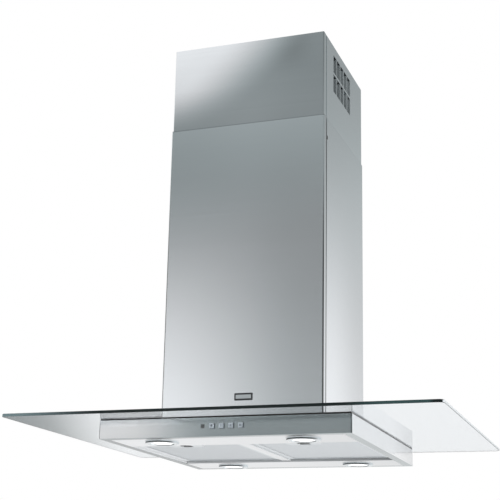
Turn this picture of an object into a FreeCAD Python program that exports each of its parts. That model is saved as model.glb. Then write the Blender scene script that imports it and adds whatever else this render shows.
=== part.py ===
import FreeCAD, Part
import math
import os
from FreeCAD import Vector

# Island range hood: a flat glass plate clamped between a shallow steel canopy and a
# two-stage chimney that hangs from the ceiling.  Millimetres.  X runs to the right as
# seen from the control side, Y to the back, Z up.  The origin is the centre of the
# ceiling bracket's top face, so the whole hood hangs below Z = 0.

# ---- glass ----
glass_width = 900.0
glass_depth = 700.0
glass_thickness = 6.0
glass_corner_radius = 10.0
glass_edge_chamfer = 0.8

# ---- canopy ----
canopy_width = 526.0
canopy_depth = 552.0
casing_height = 37.5
casing_sheet = 1.0
casing_corner_radius = 2.5
casing_rim = 18.0
casing_top_flange = 20.0
seal_height = 2.5
seal_width = 8.0

# ---- chimney covers ----
lower_width = 351.0
lower_depth = 331.0
lower_height = 652.0
cover_sheet = 0.8
cover_corner_radius = 2.0
sleeve_gap = 0.9
upper_exposed = 195.0
upper_overlap = 200.0
ceiling_gap = 0.5
cover_seat = 0.3
front_return = 17.0
seam_gap = 4.0
joggle_width = 13.0
joggle_gap = 0.1
clip_below_top = 45.0
clip_height = 9.0
clip_width = 7.0
clip_flange = 2.0
clip_flange_sheet = 0.5

# ---- vents in the sides of the upper chimney ----
vent_columns = 5
vent_rows = 2
vent_slot_width = 26.0
vent_slot_height = 41.0
vent_pitch_y = 29.6
vent_bar = 5.0
vent_lip = 6.0
vent_top = 22.0
vent_centre_y = -14.0

# ---- supporting frame ----
frame_sheet = 2.0
upper_leg = 28.0
lower_leg = 26.0
screw_head_room = 4.5
nest_gap = 0.4
upper_upright_length = 427.0
upright_top_below_cover = 18.0
raise_travel = 185.0
lower_travel = 150.0
bracket_plate = 3.0
bracket_opening_x = 240.0
bracket_opening_y = 220.0
bracket_tab_height = 25.0
ceiling_hole_x = 276.0
ceiling_hole_y = 256.0
ceiling_hole_radius = 4.25
clamp_screw_inset = 13.0
clamp_screw_first = 12.0
clamp_screw_pitch = 25.0
tie_ring_band = 22.0
tie_ring_flange = 50.0
tie_ring_gap = 0.2

# ---- clamping of the glass ----
clamp_seal_height = 1.5
ring_cover_gap = 1.5
glass_bearing = 17.0
bolt_land = 20.0
opening_corner_radius = 20.0
glass_cut_radius = 10.0
chassis_sheet = 2.0
chassis_gap = 0.5
foot_size = 26.0
foot_bolt_inset = 17.0
side_bolt_inset = 10.0

# ---- screw sizes: shank radius, head radius, head height ----
m6_radius = 3.0
m6_head_radius = 5.0
m6_head_height = 4.0
m5_radius = 2.5
m5_head_radius = 4.6
m5_head_height = 2.4
m4_radius = 2.0
m4_head_radius = 3.6
m4_head_height = 1.6
nut_height = 4.0
screw_clearance = 0.3
thread_clearance = 0.05

# ---- bottom panel and filters ----
panel_sheet = 1.0
panel_gap = 0.3
filter_recess = 5.0
lamp_strip_depth = 122.5
recess_wall_height = 13.0
shelf_width = 14.0
bar_width = 20.0
bar_drop = 2.5
bar_height = 12.0
filter_side_gap = 0.8
filter_end_gap = 1.0
filter_height = 9.0
filter_rim = 12.0
filter_sheet = 0.8
mesh_height = 6.0
mesh_gap = 0.3
hinge_tab_width = 24.0
hinge_tab_reach = 9.0
hinge_tab_inset = 30.0
hinge_gap = 0.3

# ---- filter latch ----
latch_plate_width = 72.0
latch_plate_depth = 31.0
latch_plate_drop = 4.4
latch_plate_round = 8.0
pocket_width = 26.0
pocket_length = 26.0
pocket_round = 6.0
pocket_depth = 6.0
pocket_front_wall = 2.0
latch_slider_inset = 0.8
latch_gap = 0.4
scoop_radius = 6.0
scoop_depth = 3.0
latch_nose_width = 12.0
latch_nose_height = 2.0
latch_nose_reach = 4.0
latch_travel = 6.0

# ---- controls ----
button_size = 9.8
button_hole_gap = 0.3
button_proud = 4.0
button_pitch = 20.0
button_first_x = -18.2
button_flange = 12.4
button_flange_height = 1.5
button_wall_gap = 0.3
button_stem_radius = 2.0
button_stem_length = 7.0
button_travel = 1.5
button_stem_gap = 0.4
module_depth = 15.0
module_height = 18.0
module_gap = 0.5
module_ear = 7.0
indicator_size = 7.6
indicator_offset = 19.8
indicator_hole_gap = 0.2
control_drop = 19.7

# ---- lamps ----
lamp_inset_x = 113.0
lamp_inset_y = 63.0
lamp_hole_radius = 28.0
lamp_ring_radius = 34.5
lamp_ring_proud = 4.0
lamp_ring_round = 1.5
lamp_neck_outer = 27.6
lamp_neck_inner = 24.6
lamp_neck_height = 9.0
lamp_lens_radius = 24.4
lamp_lens_thickness = 3.0
lamp_lens_inset = 1.2
lamp_can_radius = 27.0
lamp_can_height = 18.0
lamp_can_wall = 1.2

# ---- blower ----
wheel_radius = 75.0
wheel_inner_radius = 60.0
wheel_length = 140.0
blade_count = 36
blade_thickness = 1.2
blade_curve_radius = 11.0
wheel_disc = 3.0
wheel_ring_length = 4.0
hub_radius = 14.0
hub_length = 22.0
wheel_side_gap = 8.0
tongue_gap = 6.0
scroll_growth = 14.0
tongue_angle_deg = 75.0
tongue_radius = 7.0
throat_height = 110.0
scroll_sheet = 1.2
scroll_flange = 5.0
inlet_radius = 56.0
inlet_lip_radius = 7.0
scroll_floor_gap = 6.0
scroll_axis_y = -56.0
outlet_flange = 8.0
outlet_flange_sheet = 1.5
transition_height = 55.0
collar_radius = 74.5
collar_wall = 1.2
collar_height = 50.0
collar_flange = 8.0
flap_gap = 0.7
flap_thickness = 1.5
flap_level = 21.0
flap_root = 4.0
flap_ledge_width = 3.0
flap_ledge_gap = 0.3
flap_rod_radius = 1.5
flap_running_gap = 0.05
knuckle_radius = 2.6
knuckle_length = 15.0
knuckle_gap = 0.4

motor_radius = 42.0
motor_length = 56.0
motor_round = 4.0
motor_wheel_gap = 12.5
motor_neck_radius = 25.0
shaft_radius = 4.0
shaft_running_gap = 0.05
shaft_press_gap = 0.02
spider_ring_inner = 10.0
spider_ring_outer = 34.0
spider_arm_width = 12.0
spider_reach = 72.0
spider_sheet = 2.0

rail_leg = 20.0
rail_sheet = 2.0
rail_end_gap = 4.0
grommet_thickness = 3.8
grommet_radius = 7.0
foot_plate_half = 85.0
foot_hole_offset = 75.0
foot_hole_height = 13.0
foot_plate_bottom = 3.0
foot_plate_top = 40.0

# ---- control box ----
box_width = 156.0
box_depth = 68.0
box_height = 96.0
box_sheet = 1.0
box_front_gap = 8.0
board_inset = 8.0
board_thickness = 1.6
board_standoff = 5.0
post_radius = 3.0
post_inset = 6.0
relay_side = 20.0
relay_height = 16.0
relay_depth = 18.0
relay_inset = 14.0
lid_lip = 6.0
transformer_width = 60.0
transformer_depth = 34.0
transformer_height = 40.0
transformer_level = 20.0
coil_inset_x = 12.0
coil_inset_z = 8.0
coil_proud = 6.0
capacitor_radius = 15.0
capacitor_length = 45.0
capacitor_level = 16.0
capacitor_gap = 4.0
capacitor_terminal = 5.0
gland_radius = 9.0
gland_height = 14.0
gland_bore = 4.0
gland_inset_y = 20.0

# ---- levels worked out from the sizes above ----
glass_top = -(upper_exposed + lower_height + cover_seat)
glass_under = glass_top - glass_thickness
casing_top = glass_under - seal_height
casing_bottom = casing_top - casing_height
lower_cover_bottom = glass_top + cover_seat
lower_cover_top = lower_cover_bottom + lower_height
upper_cover_bottom = lower_cover_top - upper_overlap
base_bottom = glass_top + clamp_seal_height
base_top = base_bottom + frame_sheet
chassis_top = casing_top - casing_sheet
chassis_bottom = chassis_top - chassis_sheet
lower_upright_top = lower_cover_top - upright_top_below_cover
filter_face = casing_bottom + filter_recess
axis_z = base_top + scroll_floor_gap + scroll_sheet + wheel_radius + tongue_gap + 2 * scroll_growth
throat_top = axis_z + throat_height
transition_top = throat_top + transition_height
collar_top = transition_top + collar_height
flap_z = transition_top + flap_level

# ---- plan sizes worked out from the sizes above ----
upper_width = lower_width - 2 * (cover_sheet + sleeve_gap)
upper_depth = lower_depth - 2 * (cover_sheet + sleeve_gap)
upper_frame_x = upper_width / 2 - cover_sheet - screw_head_room
upper_frame_y = upper_depth / 2 - cover_sheet - screw_head_room
lower_frame_x = upper_frame_x - frame_sheet - nest_gap
lower_frame_y = upper_frame_y - frame_sheet - nest_gap
ring_width = lower_width - 2 * (cover_sheet + ring_cover_gap)
ring_depth = lower_depth - 2 * (cover_sheet + ring_cover_gap)
glass_cut_width = ring_width - 2 * glass_bearing
glass_cut_depth = ring_depth - 2 * glass_bearing
opening_width = glass_cut_width - 2 * bolt_land
opening_depth = glass_cut_depth - 2 * bolt_land
tie_x = lower_frame_x - frame_sheet - tie_ring_gap
tie_y = lower_frame_y - frame_sheet - tie_ring_gap
clamp_screw_y = lower_frame_y - clamp_screw_inset
clamp_screw_z = [lower_upright_top - clamp_screw_first - i * clamp_screw_pitch for i in range(2)]
foot_bolt_x = lower_frame_x - frame_sheet - foot_bolt_inset
foot_bolt_y = lower_frame_y - frame_sheet - foot_bolt_inset
side_bolt_x = opening_width / 2 + side_bolt_inset
recess_half_x = canopy_width / 2 - casing_rim - panel_gap
recess_half_y = canopy_depth / 2 - lamp_strip_depth
lamp_x = canopy_width / 2 - lamp_inset_x
lamp_y = canopy_depth / 2 - lamp_inset_y
cheek_x = wheel_length / 2 + wheel_side_gap
button_z = glass_under - control_drop
buttons = ["button_light", "button_speed_1", "button_speed_2", "button_speed_3"]


# ---- helpers ----
def block(x0, x1, y0, y1, z0, z1):
    low = Vector(min(x0, x1), min(y0, y1), min(z0, z1))
    return Part.makeBox(abs(x1 - x0), abs(y1 - y0), abs(z1 - z0), low)


def rod(radius, start, direction, length):
    return Part.makeCylinder(radius, length, Vector(*start), Vector(*direction))


def tube(outer, inner, start, direction, length):
    return rod(outer, start, direction, length).cut(rod(inner, start, direction, length))


def fuse(shapes):
    joined = shapes[0]
    if len(shapes) > 1:
        joined = shapes[0].multiFuse(shapes[1:])
    return joined.removeSplitter()


def rounded_plan(width, depth, radius):
    """Face in the XY plane: a rectangle about the origin with round corners."""
    hx, hy = width / 2, depth / 2
    edges = []
    for sx, sy, turn in ((1, 1, 0), (-1, 1, 90), (-1, -1, 180), (1, -1, 270)):
        centre = Vector(sx * (hx - radius), sy * (hy - radius), 0)
        ends = [centre + spoke(radius, turn + a) for a in (0, 45, 90)]
        edges.append(Part.Arc(*ends).toShape())
    for i in range(4):
        corner_end = edges[i].Vertexes[-1].Point
        next_start = edges[(i + 1) % 4].Vertexes[0].Point
        edges.append(Part.LineSegment(corner_end, next_start).toShape())
    return Part.Face(Part.Wire(Part.__sortEdges__(edges)))


def spoke(radius, angle_deg):
    angle = math.radians(angle_deg)
    return Vector(radius * math.cos(angle), radius * math.sin(angle), 0)


def slab(width, depth, radius, z0, z1):
    """Plate with round corners between two levels."""
    plan = rounded_plan(width, depth, radius)
    plan.translate(Vector(0, 0, min(z0, z1)))
    return plan.extrude(Vector(0, 0, abs(z1 - z0)))


def window(width, depth, radius, z0, z1):
    """Cutter for a window through a plate, a millimetre past both faces."""
    return slab(width, depth, radius, min(z0, z1) - 1, max(z0, z1) + 1)


def hex_prism(radius, start, direction, length):
    """Hexagonal bar; radius is half the distance across its flats."""
    corner = radius / math.cos(math.radians(30))
    points = [spoke(corner, 60 * i) for i in range(7)]
    face = Part.Face(Part.makePolygon(points))
    bar = face.extrude(Vector(0, 0, length))
    turn = FreeCAD.Rotation(Vector(0, 0, 1), Vector(*direction))
    bar.Placement = FreeCAD.Placement(Vector(*start), turn)
    return bar


def screw(size, seat, direction, length, hexagonal=False):
    """Screw whose head sits on seat; its shank runs along direction."""
    shank_radius, head_radius, head_height = size
    back = [-c for c in direction]
    shape = hex_prism if hexagonal else rod
    head = shape(head_radius, seat, back, head_height)
    return head.fuse(rod(shank_radius, seat, direction, length)).removeSplitter()


def nut(shank_radius, radius, start, direction, height):
    hole = rod(shank_radius + thread_clearance, start, direction, height)
    return hex_prism(radius, start, direction, height).cut(hole)


def corners(x, y):
    return [(sx * x, sy * y) for sx in (-1, 1) for sy in (-1, 1)]


def mirror_x(shape):
    return shape.mirror(Vector(0, 0, 0), Vector(1, 0, 0))


M6 = (m6_radius, m6_head_radius, m6_head_height)
M5 = (m5_radius, m5_head_radius, m5_head_height)
M4 = (m4_radius, m4_head_radius, m4_head_height)


# ---- ceiling side ----
def tab_holes():
    """Screws that hold the upper uprights to the bracket's corner tabs."""
    level = -(bracket_plate + bracket_tab_height) / 2
    y = upper_frame_y - upper_leg / 2
    return [(sx * upper_frame_x, sy * y, level) for sx in (-1, 1) for sy in (-1, 1)]


def cover_boss_points():
    """Where the upper rear cover is screwed to the bracket."""
    level = -(bracket_plate + bracket_tab_height) / 2
    x = upper_frame_x - upper_leg / 2
    return [(sx * x, upper_frame_y + frame_sheet, level) for sx in (-1, 1)]


def ceiling_bracket():
    reach_x, reach_y = upper_frame_x + frame_sheet, upper_frame_y + frame_sheet
    plate = block(-reach_x, reach_x, -reach_y, reach_y, -bracket_plate, 0)
    plate = plate.cut(window(bracket_opening_x, bracket_opening_y, opening_corner_radius, -bracket_plate, 0))
    tabs = []
    for sx, sy in corners(1, 1):
        bottom = -(bracket_plate + bracket_tab_height)
        inner_y = upper_frame_y - upper_leg
        inner_x = upper_frame_x - upper_leg
        tabs.append(block(sx * upper_frame_x, sx * reach_x, sy * inner_y, sy * reach_y, bottom, 0))
        tabs.append(block(sx * inner_x, sx * reach_x, sy * upper_frame_y, sy * reach_y, bottom, 0))
    bosses = []
    boss_length = upper_depth / 2 - cover_sheet - reach_y
    for point in cover_boss_points():
        bosses.append(rod(m4_head_radius + 1, point, (0, 1, 0), boss_length))
    bracket = fuse([plate] + tabs + bosses)
    cutters = []
    for x, y in corners(ceiling_hole_x / 2, ceiling_hole_y / 2):
        cutters.append(rod(ceiling_hole_radius, (x, y, -bracket_plate - 1), (0, 0, 1), bracket_plate + 2))
    for x, y, z in tab_holes():
        side = math.copysign(1, x)
        cutters.append(rod(m5_radius + screw_clearance, (x - side, y, z), (side, 0, 0), frame_sheet + 2))
    for x, y, z in cover_boss_points():
        start = (x, y - frame_sheet - 1, z)
        cutters.append(rod(m4_radius + thread_clearance, start, (0, 1, 0), frame_sheet + boss_length + 2))
    return bracket.cut(Part.makeCompound(cutters))


def angle_profile(corner_x, corner_y, leg, z0, z1):
    """Upright L-section whose outer corner is at (corner_x, corner_y)."""
    sx, sy = math.copysign(1, corner_x), math.copysign(1, corner_y)
    leg_y = block(corner_x, corner_x - sx * frame_sheet, corner_y, corner_y - sy * leg, z0, z1)
    leg_x = block(corner_x, corner_x - sx * leg, corner_y, corner_y - sy * frame_sheet, z0, z1)
    return leg_y.fuse(leg_x).removeSplitter()


def slot_cutter(x, y, low, high, radius):
    """Upright slot with round ends through a leg that faces X."""
    side = math.copysign(1, x)
    depth = frame_sheet + 2
    ends = [rod(radius, (x + side, y, z), (-side, 0, 0), depth) for z in (low, high)]
    middle = block(x + side, x + side - side * depth, y - radius, y + radius, low, high)
    return fuse(ends + [middle])


def upper_uprights():
    top = -bracket_plate
    bottom = top - upper_upright_length
    solids = []
    slot_radius = m5_radius + screw_clearance
    slot_low = min(clamp_screw_z) - lower_travel
    slot_high = max(clamp_screw_z) + raise_travel
    for x, y in corners(upper_frame_x, upper_frame_y):
        leg = angle_profile(x, y, upper_leg, bottom, top)
        slot_y = math.copysign(clamp_screw_y, y)
        leg = leg.cut(slot_cutter(x, slot_y, slot_low, slot_high, slot_radius))
        hole_y = math.copysign(upper_frame_y - upper_leg / 2, y)
        side = math.copysign(1, x)
        level = -(bracket_plate + bracket_tab_height) / 2
        hole = rod(m5_radius + thread_clearance, (x + side, hole_y, level), (-side, 0, 0), frame_sheet + 2)
        solids.append(leg.cut(hole))
    return Part.makeCompound(solids)


def upright_screws():
    solids = []
    for x, y, z in tab_holes():
        side = math.copysign(1, x)
        seat = (x + side * frame_sheet, y, z)
        size = (m5_radius, m5_head_radius, m4_head_height)
        solids.append(screw(size, seat, (-side, 0, 0), 2 * frame_sheet))
    return Part.makeCompound(solids)


def u_cover(width, depth, z0, z1, seam_y, front):
    """Half of a folded sheet sleeve: the front one is shallow, the rear one deep."""
    outer = slab(width, depth, cover_corner_radius, z0, z1)
    inner_radius = cover_corner_radius - cover_sheet
    inner = window(width - 2 * cover_sheet, depth - 2 * cover_sheet, inner_radius, z0, z1)
    sleeve = outer.cut(inner)
    if front:
        keep = block(-width, width, -depth, seam_y, z0 - 1, z1 + 1)
    else:
        keep = block(-width, width, seam_y + seam_gap, depth, z0 - 1, z1 + 1)
    return sleeve.common(keep)


def joggle(width, seam_y, z0, z1):
    """Offset edges of a rear cover that slip behind the front cover's returns."""
    outer_x = width / 2 - cover_sheet - joggle_gap
    inner_x = outer_x - cover_sheet
    strip = block(inner_x, outer_x, seam_y - joggle_width, seam_y + seam_gap + cover_sheet, z0, z1)
    step = block(inner_x, width / 2, seam_y + seam_gap, seam_y + seam_gap + cover_sheet, z0, z1)
    one = strip.fuse(step)
    return [one, mirror_x(one)]


def vent_places():
    """Front edge and top edge of every slot."""
    span = (vent_columns - 1) * vent_pitch_y
    places = []
    for row in range(vent_rows):
        top = -vent_top - row * (vent_slot_height + vent_bar)
        for column in range(vent_columns):
            y = vent_centre_y - span / 2 + column * vent_pitch_y
            places.append((y - vent_slot_width / 2, top))
    return places


def vent_cutters():
    cutters = []
    for y, top in vent_places():
        cutters.append(block(-upper_width, upper_width, y, y + vent_slot_width, top - vent_slot_height, top))
    return Part.makeCompound(cutters)


def vent_lips():
    """Edge of each slot folded inwards, at the slot's rear."""
    lips = []
    outer_x = upper_width / 2
    for y, top in vent_places():
        rear = y + vent_slot_width
        lip = block(outer_x - cover_sheet - vent_lip, outer_x, rear - cover_sheet, rear,
                    top - vent_slot_height, top)
        lips += [lip, mirror_x(lip)]
    return lips


def upper_covers():
    seam = -upper_depth / 2 + front_return
    top = -ceiling_gap
    front = u_cover(upper_width, upper_depth, upper_cover_bottom, top, seam, True)
    rear = u_cover(upper_width, upper_depth, upper_cover_bottom, top, seam, False)
    rear = fuse([rear] + joggle(upper_width, seam, upper_cover_bottom, top))
    rear = fuse([rear.cut(vent_cutters())] + vent_lips())
    for x, y, z in cover_boss_points():
        rear = rear.cut(rod(m4_radius + screw_clearance, (x, y, z), (0, 1, 0), screw_head_room + 5))
    return front, rear


def upper_cover_screws():
    solids = []
    for x, y, z in cover_boss_points():
        seat = (x, upper_depth / 2, z)
        length = upper_depth / 2 - y + frame_sheet
        size = (m4_radius, m4_head_radius, sleeve_gap / 2)
        solids.append(screw(size, seat, (0, -1, 0), length))
    return Part.makeCompound(solids)


# ---- chimney and frame that ride with the hood ----
def rear_tab_points():
    """Upstanding tabs of the base ring that hold the lower rear cover."""
    x = opening_width / 4 + rail_leg
    return [(sx * x, ring_depth / 2, base_top + foot_hole_height) for sx in (-1, 1)]


def lower_covers():
    seam = -lower_depth / 2 + front_return
    front = u_cover(lower_width, lower_depth, lower_cover_bottom, lower_cover_top, seam, True)
    rear = u_cover(lower_width, lower_depth, lower_cover_bottom, lower_cover_top, seam, False)
    joggle_top = upper_cover_bottom - raise_travel - upright_top_below_cover
    joggle_bottom = base_top + frame_sheet
    rear = fuse([rear] + joggle(lower_width, seam, joggle_bottom, joggle_top))
    for notch in seam_clip_plugs():
        rear = rear.cut(notch)
    for x, y, z in rear_tab_points():
        rear = rear.cut(rod(m4_radius + screw_clearance, (x, y, z), (0, 1, 0), cover_sheet + 5))
    return front, rear


def seam_clip_plugs():
    """Notches in the lower rear cover's front edges, near its top, that the clips fill."""
    edge = -lower_depth / 2 + front_return + seam_gap
    level = lower_cover_top - clip_below_top
    outer_x = lower_width / 2
    plug = block(outer_x - cover_sheet, outer_x, edge, edge + clip_width,
                 level - clip_height / 2, level + clip_height / 2)
    return [plug, mirror_x(plug)]


def seam_clips():
    """Plastic clips that hold the front cover's edges to the rear cover's."""
    edge = -lower_depth / 2 + front_return + seam_gap
    level = lower_cover_top - clip_below_top
    inner_x = lower_width / 2 - cover_sheet
    flange = block(inner_x - clip_flange_sheet, inner_x, edge - seam_gap - clip_flange,
                   edge + clip_width + clip_flange, level - clip_height / 2 - clip_flange,
                   level + clip_height / 2 + clip_flange)
    flanges = [flange, mirror_x(flange)]
    return Part.makeCompound([fuse(pair) for pair in zip(seam_clip_plugs(), flanges)])


def lower_cover_screws():
    solids = []
    for x, y, z in rear_tab_points():
        seat = (x, lower_depth / 2, z)
        length = lower_depth / 2 - y + frame_sheet + 1
        solids.append(screw(M4, seat, (0, -1, 0), length))
    return Part.makeCompound(solids)


def clamp_bolt_points():
    """Corner bolts through the uprights' feet, and one bolt at the middle of each side."""
    points = [(x, y, base_top + frame_sheet) for x, y in corners(foot_bolt_x, foot_bolt_y)]
    points += [(sx * side_bolt_x, 0, base_top) for sx in (-1, 1)]
    return points


def base_ring():
    ring = slab(ring_width, ring_depth, cover_corner_radius, base_bottom, base_top)
    ring = ring.cut(window(opening_width, opening_depth, opening_corner_radius, base_bottom, base_top))
    tabs = []
    for x, y, z in rear_tab_points():
        half = m4_head_radius * 2
        tabs.append(block(x - half, x + half, y - frame_sheet, y, base_bottom, z + half))
    ring = fuse([ring] + tabs)
    cutters = []
    for x, y, _ in clamp_bolt_points():
        cutters.append(rod(m6_radius + screw_clearance, (x, y, base_bottom - 1), (0, 0, 1), frame_sheet + 2))
    for x, y, z in rear_tab_points():
        hole = rod(m4_radius + thread_clearance, (x, y - frame_sheet - 1, z), (0, 1, 0), frame_sheet + 2)
        cutters.append(hole)
    for x, y in rail_screw_points():
        cutters.append(rod(m5_radius + thread_clearance, (x, y, base_bottom - 1), (0, 0, 1), frame_sheet + 2))
    return ring.cut(Part.makeCompound(cutters))


def clamp_seal():
    seal = slab(ring_width, ring_depth, cover_corner_radius, glass_top, base_bottom)
    return seal.cut(window(glass_cut_width, glass_cut_depth, glass_cut_radius, glass_top, base_bottom))


def lower_uprights():
    solids = []
    for x, y in corners(lower_frame_x, lower_frame_y):
        sx, sy = math.copysign(1, x), math.copysign(1, y)
        leg = angle_profile(x, y, lower_leg, base_top, lower_upright_top)
        foot = block(x, x - sx * foot_size, y, y - sy * foot_size, base_top, base_top + frame_sheet)
        leg = leg.fuse(foot).removeSplitter()
        bolt_at = (sx * foot_bolt_x, sy * foot_bolt_y, base_top - 1)
        leg = leg.cut(rod(m6_radius + screw_clearance, bolt_at, (0, 0, 1), frame_sheet + 2))
        for z in clamp_screw_z:
            start = (x + sx, sy * clamp_screw_y, z)
            leg = leg.cut(rod(m5_radius + screw_clearance, start, (-sx, 0, 0), frame_sheet + 2))
        solids.append(leg)
    return Part.makeCompound(solids)


def tie_ring():
    """Folded frame that ties the four lower uprights together at the top."""
    top = lower_upright_top
    bottom = top - tie_ring_flange
    outer = block(-tie_x, tie_x, -tie_y, tie_y, bottom, top)
    wall = block(-tie_x + frame_sheet, tie_x - frame_sheet, -tie_y + frame_sheet, tie_y - frame_sheet,
                 bottom - 1, top - frame_sheet)
    hole = window(2 * (tie_x - tie_ring_band), 2 * (tie_y - tie_ring_band), opening_corner_radius, bottom, top)
    ring = outer.cut(wall).cut(hole)
    for sx, sy in corners(1, 1):
        for z in clamp_screw_z:
            start = (sx * (tie_x + 1), sy * clamp_screw_y, z)
            ring = ring.cut(rod(m5_radius + screw_clearance, start, (-sx, 0, 0), frame_sheet + 2))
    return ring


def frame_clamp_screws():
    solids = []
    length = upper_frame_x + nest_gap - tie_x + frame_sheet + nut_height
    for sx, sy in corners(1, 1):
        for z in clamp_screw_z:
            seat = (sx * (upper_frame_x + nest_gap), sy * clamp_screw_y, z)
            solids.append(screw(M5, seat, (-sx, 0, 0), length))
    return Part.makeCompound(solids)


def frame_clamp_nuts():
    solids = []
    for sx, sy in corners(1, 1):
        for z in clamp_screw_z:
            start = (sx * (tie_x - frame_sheet), sy * clamp_screw_y, z)
            solids.append(nut(m5_radius, m5_head_radius - 0.6, start, (-sx, 0, 0), nut_height))
    return Part.makeCompound(solids)


def glass_plate():
    plate = slab(glass_width, glass_depth, glass_corner_radius, glass_under, glass_top)
    rims = []
    for edge in plate.Edges:
        middle = edge.CenterOfMass.z
        if abs(middle - glass_under) < 1e-6 or abs(middle - glass_top) < 1e-6:
            rims.append(edge)
    plate = plate.makeChamfer(glass_edge_chamfer, rims)
    return plate.cut(window(glass_cut_width, glass_cut_depth, glass_cut_radius, glass_under, glass_top))


# ---- canopy ----
def control_holes():
    """Square holes in the casing's front wall: the indicator's first, then the buttons'."""
    holes = [(button_first_x - indicator_offset, indicator_size / 2 + indicator_hole_gap)]
    for i in range(len(buttons)):
        holes.append((button_first_x + i * button_pitch, button_size / 2 + button_hole_gap))
    return holes


def canopy_casing():
    outer = slab(canopy_width, canopy_depth, casing_corner_radius, casing_bottom, casing_top)
    rims = []
    for edge in outer.Edges:
        middle = edge.CenterOfMass.z
        if abs(middle - casing_bottom) < 1e-6 or abs(middle - casing_top) < 1e-6:
            rims.append(edge)
    outer = outer.makeFillet(casing_sheet, rims)
    inner = slab(canopy_width - 2 * casing_sheet, canopy_depth - 2 * casing_sheet,
                 casing_corner_radius - casing_sheet, casing_bottom + casing_sheet, casing_top - casing_sheet)
    casing = outer.cut(inner)
    floor_width = canopy_width - 2 * casing_rim
    floor_depth = canopy_depth - 2 * casing_rim
    casing = casing.cut(window(floor_width, floor_depth, casing_corner_radius,
                               casing_bottom, casing_bottom + casing_sheet))
    roof_width = canopy_width - 2 * casing_top_flange
    roof_depth = canopy_depth - 2 * casing_top_flange
    casing = casing.cut(window(roof_width, roof_depth, casing_corner_radius,
                               casing_top - casing_sheet, casing_top))
    front = -canopy_depth / 2
    for x, half in control_holes():
        casing = casing.cut(block(x - half, x + half, front - 1, front + casing_sheet + 1,
                                  button_z - half, button_z + half))
    return casing


def canopy_seal():
    outer_width = canopy_width - 2 * casing_sheet
    outer_depth = canopy_depth - 2 * casing_sheet
    seal = slab(outer_width, outer_depth, casing_corner_radius, casing_top, glass_under)
    return seal.cut(window(outer_width - 2 * seal_width, outer_depth - 2 * seal_width,
                           casing_corner_radius, casing_top, glass_under))


def chassis_plate():
    width = canopy_width - 2 * (casing_sheet + chassis_gap)
    depth = canopy_depth - 2 * (casing_sheet + chassis_gap)
    plate = slab(width, depth, casing_corner_radius, chassis_bottom, chassis_top)
    plate = plate.cut(window(opening_width, opening_depth, opening_corner_radius, chassis_bottom, chassis_top))
    for x, y, _ in clamp_bolt_points():
        start = (x, y, chassis_bottom - 1)
        plate = plate.cut(rod(m6_radius + screw_clearance, start, (0, 0, 1), chassis_sheet + 2))
    return plate


def clamp_bolts():
    solids = []
    for x, y, z in clamp_bolt_points():
        length = z - chassis_bottom + nut_height + 1
        solids.append(screw(M6, (x, y, z), (0, 0, -1), length, True))
    return Part.makeCompound(solids)


def clamp_nuts():
    points = clamp_bolt_points()
    return Part.makeCompound([nut(m6_radius, m6_head_radius, (x, y, chassis_bottom), (0, 0, -1), nut_height)
                              for x, y, _ in points])


def clamp_spacers():
    """Tubes round the bolts that keep the glass from being crushed."""
    solids = []
    for x, y, _ in clamp_bolt_points():
        solids.append(tube(m6_head_radius, m6_radius + screw_clearance, (x, y, chassis_top),
                           (0, 0, 1), base_bottom - chassis_top))
    return Part.makeCompound(solids)


def inner_panel():
    """Bottom panel: flush strips, walls round the filter recess, and a shelf at the back."""
    outer_x = canopy_width / 2 - casing_sheet - panel_gap
    outer_y = canopy_depth / 2 - casing_sheet - panel_gap
    flush_y = canopy_depth / 2 - casing_rim - panel_gap
    flange_bottom = casing_bottom + casing_sheet
    flange_top = flange_bottom + panel_sheet
    flange = slab(2 * outer_x, 2 * outer_y, casing_corner_radius, flange_bottom, flange_top)
    strips = slab(2 * recess_half_x, 2 * flush_y, casing_corner_radius, casing_bottom, flange_bottom)
    thin_y = flush_y - 2 * panel_sheet
    relief = block(-recess_half_x + 2 * panel_sheet, recess_half_x - 2 * panel_sheet, -thin_y, thin_y,
                   flange_bottom, flange_top + 1)
    wall_x = recess_half_x + panel_sheet
    wall_y = recess_half_y + panel_sheet
    wall_top = casing_bottom + recess_wall_height
    shelf_top = filter_face - hinge_gap
    sides = block(-wall_x, wall_x, -wall_y, wall_y, flange_bottom, wall_top)
    above_shelf = block(-wall_x - 1, wall_x + 1, recess_half_y - panel_sheet, wall_y + 1, shelf_top, wall_top + 1)
    shelf = block(-recess_half_x, recess_half_x, recess_half_y, recess_half_y + shelf_width,
                  shelf_top - panel_sheet, shelf_top)
    recess = block(-recess_half_x, recess_half_x, -recess_half_y, recess_half_y, casing_bottom - 1, wall_top + 1)
    plate = flange.fuse(strips).cut(relief)
    panel = fuse([plate, sides.cut(above_shelf), shelf]).cut(recess)
    for x, y in corners(lamp_x, lamp_y):
        panel = panel.cut(rod(lamp_hole_radius, (x, y, casing_bottom - 1), (0, 0, 1), 2 * panel_sheet + 2))
    notch = latch_nose_width / 2 + latch_gap
    notch_front = recess_half_y + latch_nose_reach + latch_gap
    for side in (-1, 1):
        x = side * filter_centre_x()
        panel = panel.cut(block(x - notch, x + notch, -notch_front, -recess_half_y + 1,
                                casing_bottom - 1, filter_face + pocket_depth))
    return panel


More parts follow.
